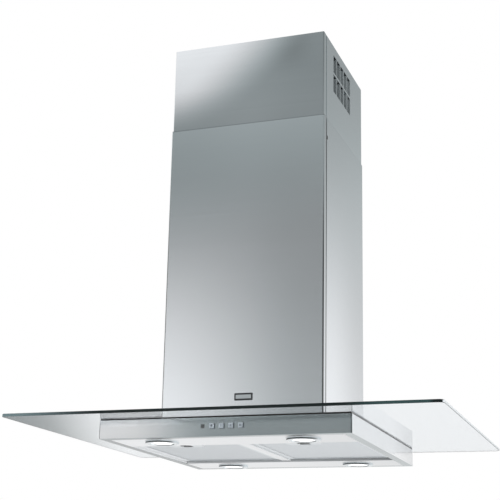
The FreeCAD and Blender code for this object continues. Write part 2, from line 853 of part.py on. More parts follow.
def centre_bar():
    """Channel between the two filters, hung on the front wall and on the rear shelf."""
    low = casing_bottom + bar_drop
    high = low + bar_height
    half = bar_width / 2
    end = recess_half_y - tie_ring_gap
    channel = block(-half, half, -end, end, low, high)
    channel = channel.cut(block(-half + panel_sheet, half - panel_sheet, -end - 1, end + 1,
                                low + panel_sheet, high + 1))
    wall_top = casing_bottom + recess_wall_height
    shelf_top = filter_face - hinge_gap
    reach = recess_half_y + shelf_width - 2
    front_lug = block(-half, half, -reach, -end + 3, wall_top, wall_top + panel_sheet)
    front_web = block(-half, half, -end, -end + panel_sheet, low, wall_top + panel_sheet)
    rear_lug = block(-half, half, end - panel_sheet, reach, shelf_top, shelf_top + panel_sheet)
    return fuse([channel, front_lug, front_web, rear_lug])


# ---- filters ----
def filter_inner_x():
    return bar_width / 2 + filter_side_gap


def filter_outer_x():
    return recess_half_x - filter_side_gap


def filter_centre_x():
    return (filter_inner_x() + filter_outer_x()) / 2


def filter_front_y():
    return -recess_half_y + filter_end_gap


def filter_rear_y():
    return recess_half_y - filter_end_gap


def filter_frame():
    """Right-hand frame; the left-hand one is its mirror image."""
    x0, x1 = filter_inner_x(), filter_outer_x()
    y0, y1 = filter_front_y(), filter_rear_y()
    z0, z1 = filter_face, filter_face + filter_height
    outer = block(x0, x1, y0, y1, z0, z1)
    core = block(x0 + filter_rim, x1 - filter_rim, y0 + filter_rim, y1 - filter_rim, z0 - 1, z1 + 1)
    groove = block(x0 + filter_sheet, x1 - filter_sheet, y0 + filter_sheet, y1 - filter_sheet,
                   z0 + filter_sheet, z1 - filter_sheet)
    frame = outer.cut(core).cut(groove)
    tabs = []
    for x in (x0 + hinge_tab_inset, x1 - hinge_tab_inset):
        tabs.append(block(x - hinge_tab_width / 2, x + hinge_tab_width / 2, y1 - 1, y1 + hinge_tab_reach,
                          z0, z0 + panel_sheet))
    frame = fuse([frame, latch_plate()] + tabs)
    pocket = pocket_prism(0, z0 - latch_plate_drop - 1, z0 + pocket_depth)
    slot_half = latch_nose_width / 2 + latch_gap
    nose_low = z0 + pocket_depth - latch_gap - latch_nose_height
    centre = filter_centre_x()
    slot = block(centre - slot_half, centre + slot_half, y0 - 1, y0 + pocket_front_wall + pocket_round,
                 nose_low - latch_gap, z0 + pocket_depth)
    return frame.cut(pocket).cut(slot)


def latch_plate():
    """Thick plate at the frame's front that comes down level with the canopy's bottom."""
    centre = filter_centre_x()
    y0 = filter_front_y()
    half = latch_plate_width / 2
    upper = block(centre - half, centre + half, y0, y0 + latch_plate_depth, filter_face,
                  filter_face + filter_height)
    lower = slab(latch_plate_width, 2 * latch_plate_depth, latch_plate_round,
                 filter_face - latch_plate_drop, filter_face)
    lower.translate(Vector(centre, y0, 0))
    keep = block(centre - half, centre + half, y0, y0 + latch_plate_depth,
                 filter_face - latch_plate_drop, filter_face)
    return upper.fuse(lower.common(keep))


def pocket_prism(shrink, low, high, shorter=0):
    """Upright prism on the outline of the finger pocket, drawn in by shrink."""
    width = pocket_width - 2 * shrink
    length = pocket_length - 2 * shrink - shorter
    front = filter_front_y() + pocket_front_wall + shrink
    prism = slab(width, length, pocket_round - shrink, low, high)
    prism.translate(Vector(filter_centre_x(), front + length / 2, 0))
    return prism


def filter_mesh():
    """Expanded metal pad held in the frame's channel, cut away round the latch plate."""
    grip = filter_rim - filter_sheet - 2
    x0, x1 = filter_inner_x() + grip, filter_outer_x() - grip
    y0, y1 = filter_front_y() + grip, filter_rear_y() - grip
    z0 = filter_face + filter_sheet + mesh_gap
    pad = block(x0, x1, y0, y1, z0, z0 + mesh_height)
    centre = filter_centre_x()
    half = latch_plate_width / 2 + mesh_gap
    plate_space = block(centre - half, centre + half, y0 - 1,
                        filter_front_y() + latch_plate_depth + mesh_gap, z0 - 1, z0 + mesh_height + 1)
    return pad.cut(plate_space)


def latch():
    """Sprung slider that fills the filter's pocket, with a finger scoop and a nose."""
    centre = filter_centre_x()
    top = filter_face + pocket_depth - latch_gap
    low = filter_face - latch_plate_drop + latch_slider_inset
    body = pocket_prism(latch_gap, low, top, latch_travel)
    scoop_y = (body.BoundBox.YMin + body.BoundBox.YMax) / 2
    scoop = rod(scoop_radius, (centre - pocket_width / 4, scoop_y, low - scoop_radius + scoop_depth),
                (1, 0, 0), pocket_width / 2)
    nose_half = latch_nose_width / 2
    nose = block(centre - nose_half, centre + nose_half, -recess_half_y - latch_nose_reach,
                 body.BoundBox.YMin + pocket_round, top - latch_nose_height, top)
    return fuse([body, nose]).cut(scoop)


# ---- controls ----
def switch_module():
    front = -canopy_depth / 2 + casing_sheet
    face = front + button_wall_gap + button_flange_height + button_travel + module_gap
    x0 = button_first_x - indicator_offset - indicator_size / 2 - 2 - module_ear
    x1 = button_first_x + (len(buttons) - 1) * button_pitch + button_flange / 2 + 1 + module_ear
    half = module_height / 2
    body = block(x0, x1, face, face + module_depth, button_z - half, button_z + half)
    ears = [block(x0, x0 + module_ear, front, face, button_z - half, button_z + half),
            block(x1 - module_ear, x1, front, face, button_z - half, button_z + half)]
    module = fuse([body] + ears)
    for i in range(len(buttons)):
        x = button_first_x + i * button_pitch
        depth = button_stem_length + button_travel
        module = module.cut(rod(button_stem_radius + button_stem_gap, (x, face - 1, button_z), (0, 1, 0), depth))
    return module


def button(index):
    x = button_first_x + index * button_pitch
    front = -canopy_depth / 2
    half = button_size / 2
    cap = block(x - half, x + half, front - button_proud, front + casing_sheet + button_wall_gap + 0.5,
                button_z - half, button_z + half)
    rims = [edge for edge in cap.Edges if abs(edge.CenterOfMass.y - (front - button_proud)) < 1e-6]
    cap = cap.makeFillet(0.5, rims)
    back = front + casing_sheet + button_wall_gap
    wide = button_flange / 2
    flange = block(x - wide, x + wide, back, back + button_flange_height, button_z - wide, button_z + wide)
    stem = rod(button_stem_radius, (x, back, button_z), (0, 1, 0), button_stem_length)
    return fuse([cap, flange, stem])


def indicator_window():
    x = button_first_x - indicator_offset
    front = -canopy_depth / 2
    face = front + casing_sheet + button_wall_gap + button_flange_height + button_travel + module_gap
    half = indicator_size / 2
    return block(x - half, x + half, front - 0.3, face, button_z - half, button_z + half)


# ---- lamps ----
def lamp_ring(x, y):
    low = casing_bottom - lamp_ring_proud
    high = casing_bottom + lamp_neck_height
    flange = rod(lamp_ring_radius, (x, y, low), (0, 0, 1), lamp_ring_proud)
    rims = [edge for edge in flange.Edges if abs(edge.CenterOfMass.z - low) < 1e-6]
    flange = flange.makeFillet(lamp_ring_round, rims)
    neck = rod(lamp_neck_outer, (x, y, casing_bottom), (0, 0, 1), lamp_neck_height)
    bore = rod(lamp_neck_inner, (x, y, low - 1), (0, 0, 1), high - low + 2)
    return fuse([flange, neck]).cut(bore)


def lamp_lens(x, y):
    low = casing_bottom - lamp_ring_proud + lamp_lens_inset
    lens = rod(lamp_lens_radius, (x, y, low), (0, 0, 1), lamp_lens_thickness)
    rims = [edge for edge in lens.Edges if abs(edge.CenterOfMass.z - low) < 1e-6]
    return lens.makeFillet(1.0, rims)


def lamp_can(x, y):
    low = casing_bottom + lamp_neck_height
    can = rod(lamp_can_radius, (x, y, low), (0, 0, 1), lamp_can_height)
    inside = rod(lamp_can_radius - lamp_can_wall, (x, y, low - 1), (0, 0, 1), lamp_can_height - lamp_can_wall + 1)
    return can.cut(inside)


def at_lamps(make):
    return Part.makeCompound([make(x, y) for x, y in corners(lamp_x, lamp_y)])


# ---- blower ----
def scroll_radii():
    first = wheel_radius + tongue_gap + scroll_growth / 2
    return first, first + scroll_growth, first + 2 * scroll_growth


def throat_front():
    """Y of the throat's front wall, measured from the wheel's axis."""
    first = scroll_radii()[0]
    reach = (first + tongue_radius) * math.cos(math.radians(tongue_angle_deg))
    return -scroll_growth / 2 + reach + tongue_radius


def throat_rear():
    return scroll_growth / 2 + scroll_radii()[2]


def scroll_point(y, z, x):
    return Vector(x, scroll_axis_y + y, axis_z + z)


def scroll_arc(centre, radius, start_deg, end_deg, x):
    points = []
    for angle in (start_deg, (start_deg + end_deg) / 2, end_deg):
        offset = spoke(radius, angle)
        points.append(scroll_point(centre[0] + offset.x, centre[1] + offset.y, x))
    return Part.Arc(*points).toShape()


def scroll_face(grow, x, top):
    """Volute of three quarter arcs, each wider than the last, with a round tongue."""
    half = scroll_growth / 2
    first, second, third = scroll_radii()
    tongue = math.radians(tongue_angle_deg)
    nose = (-half + (first + tongue_radius) * math.cos(tongue), -half + (first + tongue_radius) * math.sin(tongue))
    front_y = throat_front() - grow
    rear_y = throat_rear() + grow
    edges = [
        Part.LineSegment(scroll_point(rear_y, top, x), scroll_point(rear_y, half, x)).toShape(),
        scroll_arc((half, half), third + grow, 0, -90, x),
        scroll_arc((half, -half), second + grow, -90, -180, x),
        scroll_arc((-half, -half), first + grow, 180, tongue_angle_deg, x),
        scroll_arc(nose, tongue_radius - grow, 180 + tongue_angle_deg, 360, x),
        Part.LineSegment(scroll_point(front_y, nose[1], x), scroll_point(front_y, top, x)).toShape(),
        Part.LineSegment(scroll_point(front_y, top, x), scroll_point(rear_y, top, x)).toShape(),
    ]
    return Part.Face(Part.Wire(edges))


def scroll_prism(grow, x0, x1, top=throat_height):
    return scroll_face(grow, min(x0, x1), top).extrude(Vector(abs(x1 - x0), 0, 0))


def inlet_lip(side):
    """Rounded inlet mouth, curling from the cheek in towards the wheel."""
    outer_x = side * (cheek_x + scroll_sheet)
    centre = Vector(outer_x - side * inlet_lip_radius, scroll_axis_y, axis_z + inlet_radius + inlet_lip_radius)
    edges = []
    ends = []
    for radius in (inlet_lip_radius, inlet_lip_radius - scroll_sheet):
        points = []
        for angle in (0, 45, 90):
            along = side * radius * math.cos(math.radians(angle))
            down = radius * math.sin(math.radians(angle))
            points.append(centre + Vector(along, 0, -down))
        edges.append(Part.Arc(*points).toShape())
        ends.append((points[0], points[-1]))
    for i in range(2):
        edges.append(Part.LineSegment(ends[0][i], ends[1][i]).toShape())
    face = Part.Face(Part.Wire(Part.__sortEdges__(edges)))
    return face.revolve(Vector(0, scroll_axis_y, axis_z), Vector(1, 0, 0), 360)


def cheek(side, grow):
    """Side wall of the scroll with its inlet mouth and the foot plate below it."""
    x0, x1 = side * cheek_x, side * (cheek_x + scroll_sheet)
    centre_y = scroll_axis_y + scroll_growth / 2
    wall = scroll_prism(grow, x0, x1)
    foot = block(x0, x1, centre_y - foot_plate_half, centre_y + foot_plate_half,
                 base_top + foot_plate_bottom, base_top + foot_plate_top)
    mouth = rod(inlet_radius + inlet_lip_radius, (x0 - side, scroll_axis_y, axis_z), (side, 0, 0), scroll_sheet + 2)
    wall = fuse([wall, foot]).cut(mouth)
    for y in foot_hole_y():
        start = (x0 - side, y, base_top + foot_hole_height)
        wall = wall.cut(rod(m5_radius + screw_clearance, start, (side, 0, 0), scroll_sheet + 2))
    return fuse([wall, inlet_lip(side)])


def foot_hole_y():
    centre_y = scroll_axis_y + scroll_growth / 2
    return [centre_y - foot_hole_offset, centre_y + foot_hole_offset]


def scroll_housing():
    """Wrapper, right-hand cheek, edge flange for the cover and flange round the outlet."""
    wrapper = scroll_prism(scroll_sheet, -cheek_x, cheek_x)
    edge = scroll_prism(scroll_flange, -cheek_x, -cheek_x + outlet_flange_sheet, throat_height - outlet_flange_sheet)
    outer_x = cheek_x + scroll_sheet + outlet_flange
    y0 = scroll_axis_y + throat_front() - scroll_sheet - outlet_flange
    y1 = scroll_axis_y + throat_rear() + scroll_sheet + outlet_flange
    outlet = block(-cheek_x, outer_x, y0, y1, throat_top - outlet_flange_sheet, throat_top)
    shell = fuse([wrapper, edge, outlet])
    shell = shell.cut(scroll_prism(0, -cheek_x - 1, cheek_x, throat_height + 1))
    return fuse([shell, cheek(1, scroll_sheet)])


def scroll_cover():
    """Left-hand cheek, which lifts off with the motor."""
    x1 = -(cheek_x + scroll_sheet)
    y0 = scroll_axis_y + throat_front() - scroll_sheet - outlet_flange
    y1 = scroll_axis_y + throat_rear() + scroll_sheet + outlet_flange
    outlet = block(x1 - outlet_flange, -cheek_x, y0, y1, throat_top - outlet_flange_sheet, throat_top)
    keep_out = block(-cheek_x, cheek_x, y0 - 1, y1 + 1, throat_top - outlet_flange_sheet - 1, throat_top + 1)
    return fuse([cheek(-1, scroll_flange), outlet]).cut(keep_out)


def throat_wire(grow, level):
    """Throat outline as eight edges: four sides and four small round corners."""
    half_x = cheek_x + grow
    half_y = (throat_rear() - throat_front()) / 2 + grow
    centre_y = scroll_axis_y + (throat_rear() + throat_front()) / 2
    radius = 3.0 + grow
    edges = []
    last = None
    first = None
    for sx, sy, turn in ((1, 1, 0), (-1, 1, 90), (-1, -1, 180), (1, -1, 270)):
        centre = Vector(sx * (half_x - radius), centre_y + sy * (half_y - radius), level)
        ends = [centre + spoke(radius, turn + a) for a in (0, 45, 90)]
        if last is not None:
            edges.append(Part.LineSegment(last, ends[0]).toShape())
        first = first or ends[0]
        edges.append(Part.Arc(*ends).toShape())
        last = ends[2]
    edges.append(Part.LineSegment(last, first).toShape())
    return Part.Wire(edges)


def round_wire(radius, level):
    """Circle as eight arcs that match the throat outline's corners and sides."""
    edges = []
    for i in range(8):
        start = 22.5 + 45 * i
        ends = [Vector(0, 0, level) + spoke(radius, start + a) for a in (0, 22.5, 45)]
        edges.append(Part.Arc(*ends).toShape())
    return Part.Wire(edges)


def outlet_transition():
    """Rectangle-to-round duct piece with a flange at each end."""
    low, high = throat_top, transition_top
    outer = Part.makeLoft([throat_wire(scroll_sheet, low), round_wire(collar_radius, high)], True, True)
    inner = Part.makeLoft([throat_wire(0, low), round_wire(collar_radius - collar_wall, high)], True, True)
    centre_y = scroll_axis_y + (throat_rear() + throat_front()) / 2
    half_x = cheek_x + scroll_sheet + outlet_flange
    half_y = (throat_rear() - throat_front()) / 2 + scroll_sheet + outlet_flange
    bottom = block(-half_x, half_x, centre_y - half_y, centre_y + half_y, low, low + outlet_flange_sheet)
    top = rod(collar_radius + collar_flange, (0, 0, high - outlet_flange_sheet), (0, 0, 1), outlet_flange_sheet)
    return fuse([outer, bottom, top]).cut(inner)


def outlet_collar():
    """Round spigot for the duct, with the ledge on which the flaps close."""
    low = transition_top
    inner_radius = collar_radius - collar_wall
    wall = tube(collar_radius, inner_radius, (0, 0, low), (0, 0, 1), collar_height)
    flange = tube(collar_radius + collar_flange, inner_radius, (0, 0, low), (0, 0, 1), outlet_flange_sheet)
    ledge_top = flap_z - flap_thickness / 2 - flap_ledge_gap
    ledge = tube(collar_radius - collar_wall / 2, inner_radius - flap_ledge_width, (0, 0, ledge_top - 1.2),
                 (0, 0, 1), 1.2)
    collar = fuse([wall, flange, ledge])
    hole = rod(flap_rod_radius + flap_running_gap, (-collar_radius - 1, 0, flap_z), (1, 0, 0), 2 * collar_radius + 2)
    return collar.cut(hole)


def flap_rod():
    half = collar_radius - 0.2
    return rod(flap_rod_radius, (-half, 0, flap_z), (1, 0, 0), 2 * half)


def flap(side):
    """Half-round damper flap on two knuckles; side -1 is the front one."""
    radius = collar_radius - collar_wall - flap_gap
    half = flap_thickness / 2
    disc = rod(radius, (0, 0, flap_z - half), (0, 0, 1), flap_thickness)
    keep = block(-radius, radius, side * flap_root, side * (radius + 1), flap_z - half, flap_z + half)
    parts = [disc.common(keep)]
    step = knuckle_length + knuckle_gap
    offset = 0 if side < 0 else step
    for start in (-3 * step, step):
        x0 = start + offset
        parts.append(rod(knuckle_radius, (x0, 0, flap_z), (1, 0, 0), knuckle_length))
        parts.append(block(x0, x0 + knuckle_length, 0, side * (flap_root + 1), flap_z - half, flap_z + half))
    bore = rod(flap_rod_radius + flap_running_gap, (-radius, 0, flap_z), (1, 0, 0), 2 * radius)
    return fuse(parts).cut(bore)


def blade(angle_deg, x0, x1):
    """Forward-curved blade: a thin crescent between two arcs, drawn along the axis."""
    middle_radius = (wheel_radius + wheel_inner_radius) / 2
    half_chord = (wheel_radius - wheel_inner_radius) / 2
    sag = blade_curve_radius - math.sqrt(blade_curve_radius ** 2 - half_chord ** 2)
    points = []
    for bulge in (-sag, -sag - blade_thickness):
        points.append((middle_radius, bulge))
    root = (wheel_inner_radius + 0.1, 0)
    tip = (wheel_radius - 0.1, 0)
    turn = math.radians(angle_deg)

    def place(pair):
        y = pair[0] * math.cos(turn) - pair[1] * math.sin(turn)
        z = pair[0] * math.sin(turn) + pair[1] * math.cos(turn)
        return Vector(x0, scroll_axis_y + y, axis_z + z)

    inside = Part.Arc(place(root), place(points[0]), place(tip)).toShape()
    outside = Part.Arc(place(tip), place(points[1]), place(root)).toShape()
    return Part.Face(Part.Wire([inside, outside])).extrude(Vector(x1 - x0, 0, 0))


def blower_wheel():
    """Double-inlet wheel: hub, middle disc, forward-curved blades and two end rings."""
    half = wheel_length / 2
    axis = (scroll_axis_y, axis_z)
    disc = rod(wheel_radius, (-wheel_disc / 2, *axis), (1, 0, 0), wheel_disc)
    hub = rod(hub_radius, (-hub_length / 2, *axis), (1, 0, 0), hub_length)
    rings = []
    for x in (-half, half - wheel_ring_length):
        rings.append(tube(wheel_radius, wheel_inner_radius, (x, *axis), (1, 0, 0), wheel_ring_length))
    blades = []
    for i in range(blade_count):
        blades.append(blade(360 / blade_count * i, -half, half))
    wheel = fuse([disc, hub] + rings + blades)
    return wheel.cut(rod(shaft_radius + shaft_press_gap, (-hub_length, *axis), (1, 0, 0), 2 * hub_length))


def motor_right_x():
    return -motor_wheel_gap


def motor_left_x():
    return motor_right_x() - motor_length


def motor():
    axis = (scroll_axis_y, axis_z)
    can = rod(motor_radius, (motor_left_x(), *axis), (1, 0, 0), motor_length)
    rims = [edge for edge in can.Edges if edge.Curve.TypeId == "Part::GeomCircle"]
    can = can.makeFillet(motor_round, rims)
    neck = rod(motor_neck_radius, (-cheek_x - scroll_sheet, *axis), (1, 0, 0), cheek_x + scroll_sheet + motor_left_x() + 1)
    body = fuse([can, neck])
    bore = rod(shaft_radius + shaft_running_gap, (motor_left_x() + motor_round, *axis), (1, 0, 0), motor_length)
    return body.cut(bore)


def motor_shaft():
    start = motor_left_x() + motor_round + 1
    return rod(shaft_radius, (start, scroll_axis_y, axis_z), (1, 0, 0), hub_length / 2 + 2 - start)


def motor_bracket():
    """Three-armed plate that carries the motor in the left-hand inlet."""
    axis = (scroll_axis_y, axis_z)
    outer_x = -(cheek_x + scroll_sheet + spider_sheet)
    parts = [rod(spider_ring_outer, (outer_x, *axis), (1, 0, 0), spider_sheet)]
    for i in range(3):
        arm = block(outer_x, outer_x + spider_sheet, scroll_axis_y - spider_arm_width / 2,
                    scroll_axis_y + spider_arm_width / 2, axis_z, axis_z + spider_reach)
        arm.rotate(Vector(0, *axis), Vector(1, 0, 0), 120 * i)
        parts.append(arm)
    bracket = fuse(parts)
    return bracket.cut(rod(spider_ring_inner, (outer_x - 1, *axis), (1, 0, 0), spider_sheet + 2))


def rail_x():
    """Inner and outer X of the right-hand rail."""
    inner = cheek_x + scroll_sheet + grommet_thickness
    return inner, inner + rail_leg


def rail_screw_points():
    inner, outer = rail_x()
    x = (inner + outer) / 2 + rail_sheet / 2
    y = (ring_depth / 2 + opening_depth / 2) / 2
    return corners(x, y)


def blower_rails():
    """Two angle rails across the base ring that carry the blower."""
    inner, outer = rail_x()
    end = ring_depth / 2 - rail_end_gap
    upright = block(inner, inner + rail_sheet, -end, end, base_top, base_top + rail_leg)
    flat = block(inner, outer, -end, end, base_top, base_top + rail_sheet)
    rail = upright.fuse(flat).removeSplitter()
    for y in foot_hole_y():
        start = (inner - 1, y, base_top + foot_hole_height)
        rail = rail.cut(rod(m5_radius + screw_clearance, start, (1, 0, 0), rail_sheet + 2))
    for x, y in rail_screw_points():
        if x > 0:
            rail = rail.cut(rod(m5_radius + screw_clearance, (x, y, base_top - 1), (0, 0, 1), rail_sheet + 2))
    return Part.makeCompound([rail, mirror_x(rail)])


def blower_grommets():
    solids = []
    for side in (-1, 1):
        for y in foot_hole_y():
            start = (side * (cheek_x + scroll_sheet), y, base_top + foot_hole_height)
            solids.append(tube(grommet_radius, m5_radius + screw_clearance, start, (side, 0, 0), grommet_thickness))
    return Part.makeCompound(solids)


def blower_screws():
    """Screws through the rails into the blower's feet, and those that hold the rails."""
    inner, _ = rail_x()
    solids = []
    for side in (-1, 1):
        for y in foot_hole_y():
            seat = (side * (inner + rail_sheet), y, base_top + foot_hole_height)
            solids.append(screw(M5, seat, (-side, 0, 0), rail_sheet + grommet_thickness + scroll_sheet + 2))
    for x, y in rail_screw_points():
        solids.append(screw(M5, (x, y, base_top + rail_sheet), (0, 0, -1), rail_sheet + frame_sheet))
    return Part.makeCompound(solids)


# ---- control box ----
def box_y():
    front = scroll_axis_y + throat_rear() + scroll_flange + box_front_gap
    return front, front + box_depth


def control_box():
    """Folded tray, open at the back, that stands on the base ring's rear band."""
    y0, y1 = box_y()
    half = box_width / 2
    top = base_top + box_height
    tray = block(-half, half, y0, y1, base_top, top)
    tray = tray.cut(block(-half + box_sheet, half - box_sheet, y0 + box_sheet, y1 + 1,
                          base_top + box_sheet, top - box_sheet))
    x, y, _ = gland_seat()
    return tray.cut(rod(gland_bore + screw_clearance, (x, y, top - box_sheet - 1), (0, 0, 1), box_sheet + 2))


def gland_seat():
    return -box_width / 4, box_y()[0] + gland_inset_y, base_top + box_height


def control_box_lid():
    _, y1 = box_y()
    half = box_width / 2
    plate = block(-half, half, y1, y1 + box_sheet, base_top, base_top + box_height)
    inset = half - box_sheet - mesh_gap
    low = base_top + box_sheet + mesh_gap
    high = base_top + box_height - box_sheet - mesh_gap
    lip = block(-inset, inset, y1 - lid_lip, y1, low, high)
    lip = lip.cut(block(-inset + box_sheet, inset - box_sheet, y1 - lid_lip - 1, y1,
                        low + box_sheet, high - box_sheet))
    return fuse([plate, lip])


def power_board():
    """Circuit board on four standoffs fixed to the tray's front wall."""
    y0, _ = box_y()
    half = box_width / 2 - board_inset
    low, high = base_top + board_inset, base_top + box_height - board_inset
    board_y = y0 + box_sheet + board_standoff
    board = block(-half, half, board_y, board_y + board_thickness, low, high)
    posts = []
    for x in (-half + post_inset, half - post_inset):
        for z in (low + post_inset, high - post_inset):
            posts.append(rod(post_radius, (x, y0 + box_sheet, z), (0, 1, 0), board_standoff))
    relay_x = -half + relay_inset
    relay_top = high - relay_inset
    relay = block(relay_x, relay_x + relay_side, board_y, board_y + relay_depth,
                  relay_top - relay_height, relay_top)
    return fuse([board, relay] + posts)


def board_face():
    y0, _ = box_y()
    return y0 + box_sheet + board_standoff + board_thickness


def lamp_transformer():
    """Transformer on the board: the core, and the coil that stands proud of it."""
    y = board_face()
    half = transformer_width / 2
    low = base_top + transformer_level
    high = low + transformer_height
    body = block(-half, half, y, y + transformer_depth, low, high)
    coil = block(-half + coil_inset_x, half - coil_inset_x, y, y + transformer_depth + coil_proud,
                 low + coil_inset_z, high - coil_inset_z)
    return fuse([body, coil])


def capacitor():
    """Motor run capacitor lying against the board, with a stepped end."""
    y = board_face() + capacitor_radius
    x = transformer_width / 2 + capacitor_gap + capacitor_radius
    low = base_top + capacitor_level
    can = rod(capacitor_radius, (x, y, low), (0, 0, 1), capacitor_length)
    neck = rod(capacitor_radius / 2, (x, y, low + capacitor_length), (0, 0, 1), capacitor_terminal)
    return fuse([can, neck])


def cable_gland():
    """Gland for the supply cable on the box's top."""
    start = gland_seat()
    body = hex_prism(gland_radius, start, (0, 0, 1), gland_height / 2)
    dome_start = (start[0], start[1], start[2] + gland_height / 2)
    dome = Part.makeCone(gland_radius, gland_radius * 0.7, gland_height / 2, Vector(*dome_start))
    bore = rod(gland_bore, start, (0, 0, 1), gland_height)
    return fuse([body, dome]).cut(bore)


def build():
    upper_front, upper_rear = upper_covers()
    lower_front, lower_rear = lower_covers()
    frame, mesh, slider = filter_frame(), filter_mesh(), latch()
    parts = {
        "ceiling_bracket": ceiling_bracket(),
        "upper_uprights": upper_uprights(),
        "upright_screws": upright_screws(),
        "upper_cover_front": upper_front,
        "upper_cover_rear": upper_rear,
        "upper_cover_screws": upper_cover_screws(),
        "lower_cover_front": lower_front,
        "lower_cover_rear": lower_rear,
        "lower_cover_screws": lower_cover_screws(),
        "seam_clips": seam_clips(),
        "base_ring": base_ring(),
        "clamp_seal": clamp_seal(),
        "lower_uprights": lower_uprights(),
        "tie_ring": tie_ring(),
        "frame_clamp_screws": frame_clamp_screws(),
        "frame_clamp_nuts": frame_clamp_nuts(),
        "glass_plate": glass_plate(),
        "canopy_casing": canopy_casing(),
        "canopy_seal": canopy_seal(),
        "chassis_plate": chassis_plate(),
        "clamp_bolts": clamp_bolts(),
        "clamp_nuts": clamp_nuts(),
        "clamp_spacers": clamp_spacers(),
        "inner_panel": inner_panel(),
        "centre_bar": centre_bar(),
        "filter_frame_right": frame,
        "filter_frame_left": mirror_x(frame),
        "filter_mesh_right": mesh,
        "filter_mesh_left": mirror_x(mesh),
        "latch_right": slider,
        "latch_left": mirror_x(slider),
        "switch_module": switch_module(),
        "indicator_window": indicator_window(),
        "lamp_rings": at_lamps(lamp_ring),
        "lamp_lenses": at_lamps(lamp_lens),
        "lamp_cans": at_lamps(lamp_can),
        "scroll_housing": scroll_housing(),
        "scroll_cover": scroll_cover(),
        "outlet_transition": outlet_transition(),
        "outlet_collar": outlet_collar(),
        "flap_rod": flap_rod(),
        "flap_front": flap(-1),
        "flap_rear": flap(1),
        "blower_wheel": blower_wheel(),
        "motor": motor(),
        "motor_shaft": motor_shaft(),
        "motor_bracket": motor_bracket(),
        "blower_rails": blower_rails(),
        "blower_grommets": blower_grommets(),
        "blower_screws": blower_screws(),
        "control_box": control_box(),
        "control_box_lid": control_box_lid(),
        "power_board": power_board(),
        "lamp_transformer": lamp_transformer(),
        "capacitor": capacitor(),
        "cable_gland": cable_gland(),
    }
    for index, name in enumerate(buttons):
        parts[name] = button(index)
    return parts


os.makedirs("parts", exist_ok=True)
for node, shape in build().items():
    shape.exportStep("parts/" + node + ".step")
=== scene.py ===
import math

import bmesh
import bpy
from mathutils import Matrix, Vector


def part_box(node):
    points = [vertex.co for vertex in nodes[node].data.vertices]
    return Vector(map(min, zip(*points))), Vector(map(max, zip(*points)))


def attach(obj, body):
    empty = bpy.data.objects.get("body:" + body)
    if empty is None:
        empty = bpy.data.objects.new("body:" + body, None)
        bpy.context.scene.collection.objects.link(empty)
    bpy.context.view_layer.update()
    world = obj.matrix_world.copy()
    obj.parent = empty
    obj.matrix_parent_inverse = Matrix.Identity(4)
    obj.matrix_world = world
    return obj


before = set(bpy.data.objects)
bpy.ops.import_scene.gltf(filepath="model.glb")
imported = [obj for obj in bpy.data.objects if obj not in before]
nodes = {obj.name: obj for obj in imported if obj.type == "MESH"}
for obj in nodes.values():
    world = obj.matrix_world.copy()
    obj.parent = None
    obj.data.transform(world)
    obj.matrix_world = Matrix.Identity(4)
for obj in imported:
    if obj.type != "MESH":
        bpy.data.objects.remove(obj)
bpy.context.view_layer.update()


# ---- node expressions ----
class Field:
    """A value that varies over a surface; arithmetic on it adds Math nodes."""

    def __init__(self, shader, socket):
        self.shader = shader
        self.socket = socket

    def __add__(self, other):
        return self.shader.maths("ADD", self, other)

    def __sub__(self, other):
        return self.shader.maths("SUBTRACT", self, other)

    def __rsub__(self, other):
        return self.shader.maths("SUBTRACT", other, self)

    def __mul__(self, other):
        return self.shader.maths("MULTIPLY", self, other)

    def __truediv__(self, other):
        return self.shader.maths("DIVIDE", self, other)

    def __rtruediv__(self, other):
        return self.shader.maths("DIVIDE", other, self)

    def __gt__(self, other):
        return self.shader.maths("GREATER_THAN", self, other)

    def __lt__(self, other):
        return self.shader.maths("LESS_THAN", self, other)

    def __neg__(self):
        return 0.0 - self

    def __abs__(self):
        return self.shader.maths("ABSOLUTE", self)

    __radd__ = __add__
    __rmul__ = __mul__

    def either(self, other):
        """The larger of two values."""
        return self.shader.maths("MAXIMUM", self, other)

    def rise(self, low, high):
        """0 up to low, 1 from high on, soft at both ends."""
        return self.shader.node("ShaderNodeMapRange", {"interpolation_type": "SMOOTHSTEP"},
                                {"Value": self, "From Min": low, "From Max": high})

    def fall(self, low, high):
        """1 up to low, 0 from high on, soft at both ends."""
        return 1.0 - self.rise(low, high)

    def within(self, low, high, soft):
        """1 between low and high, fading inwards over the length soft."""
        return self.rise(low, low + soft) * self.fall(high - soft, high)


class Shader:
    """A node tree that is written as expressions."""

    def __init__(self, tree):
        self.tree = tree

    def node(self, kind, settings, inputs, output=0):
        """Adds a node: its settings first, then a value or a link for each input named."""
        made = self.tree.nodes.new(kind)
        for key, value in settings.items():
            setattr(made, key, value)
        for key, value in inputs.items():
            self.feed(made.inputs[key], value)
        return Field(self, made.outputs[output])

    def feed(self, socket, value):
        """Links a socket to a value that varies, or sets it to a plain one."""
        if isinstance(value, Field):
            self.tree.links.new(value.socket, socket)
        else:
            socket.default_value = value

    def maths(self, operation, *terms):
        return self.node("ShaderNodeMath", {"operation": operation}, dict(enumerate(terms)))

    def split(self, vector):
        return [self.node("ShaderNodeSeparateXYZ", {}, {0: vector}, axis) for axis in range(3)]

    def blend(self, factor, first, second):
        """Colour between first and second."""
        return self.node("ShaderNodeMix", {"data_type": "RGBA"}, {0: factor, 6: first, 7: second}, 2)

    def mix(self, factor, first, second):
        """Shader between first and second."""
        return self.node("ShaderNodeMixShader", {}, {0: factor, 1: first, 2: second})

    def ray(self, *kinds):
        """1 where a ray is one of these kinds."""
        seen = [self.node("ShaderNodeLightPath", {}, {}, "Is " + kind + " Ray") for kind in kinds]
        total = seen[0]
        for other in seen[1:]:
            total = total.either(other)
        return total


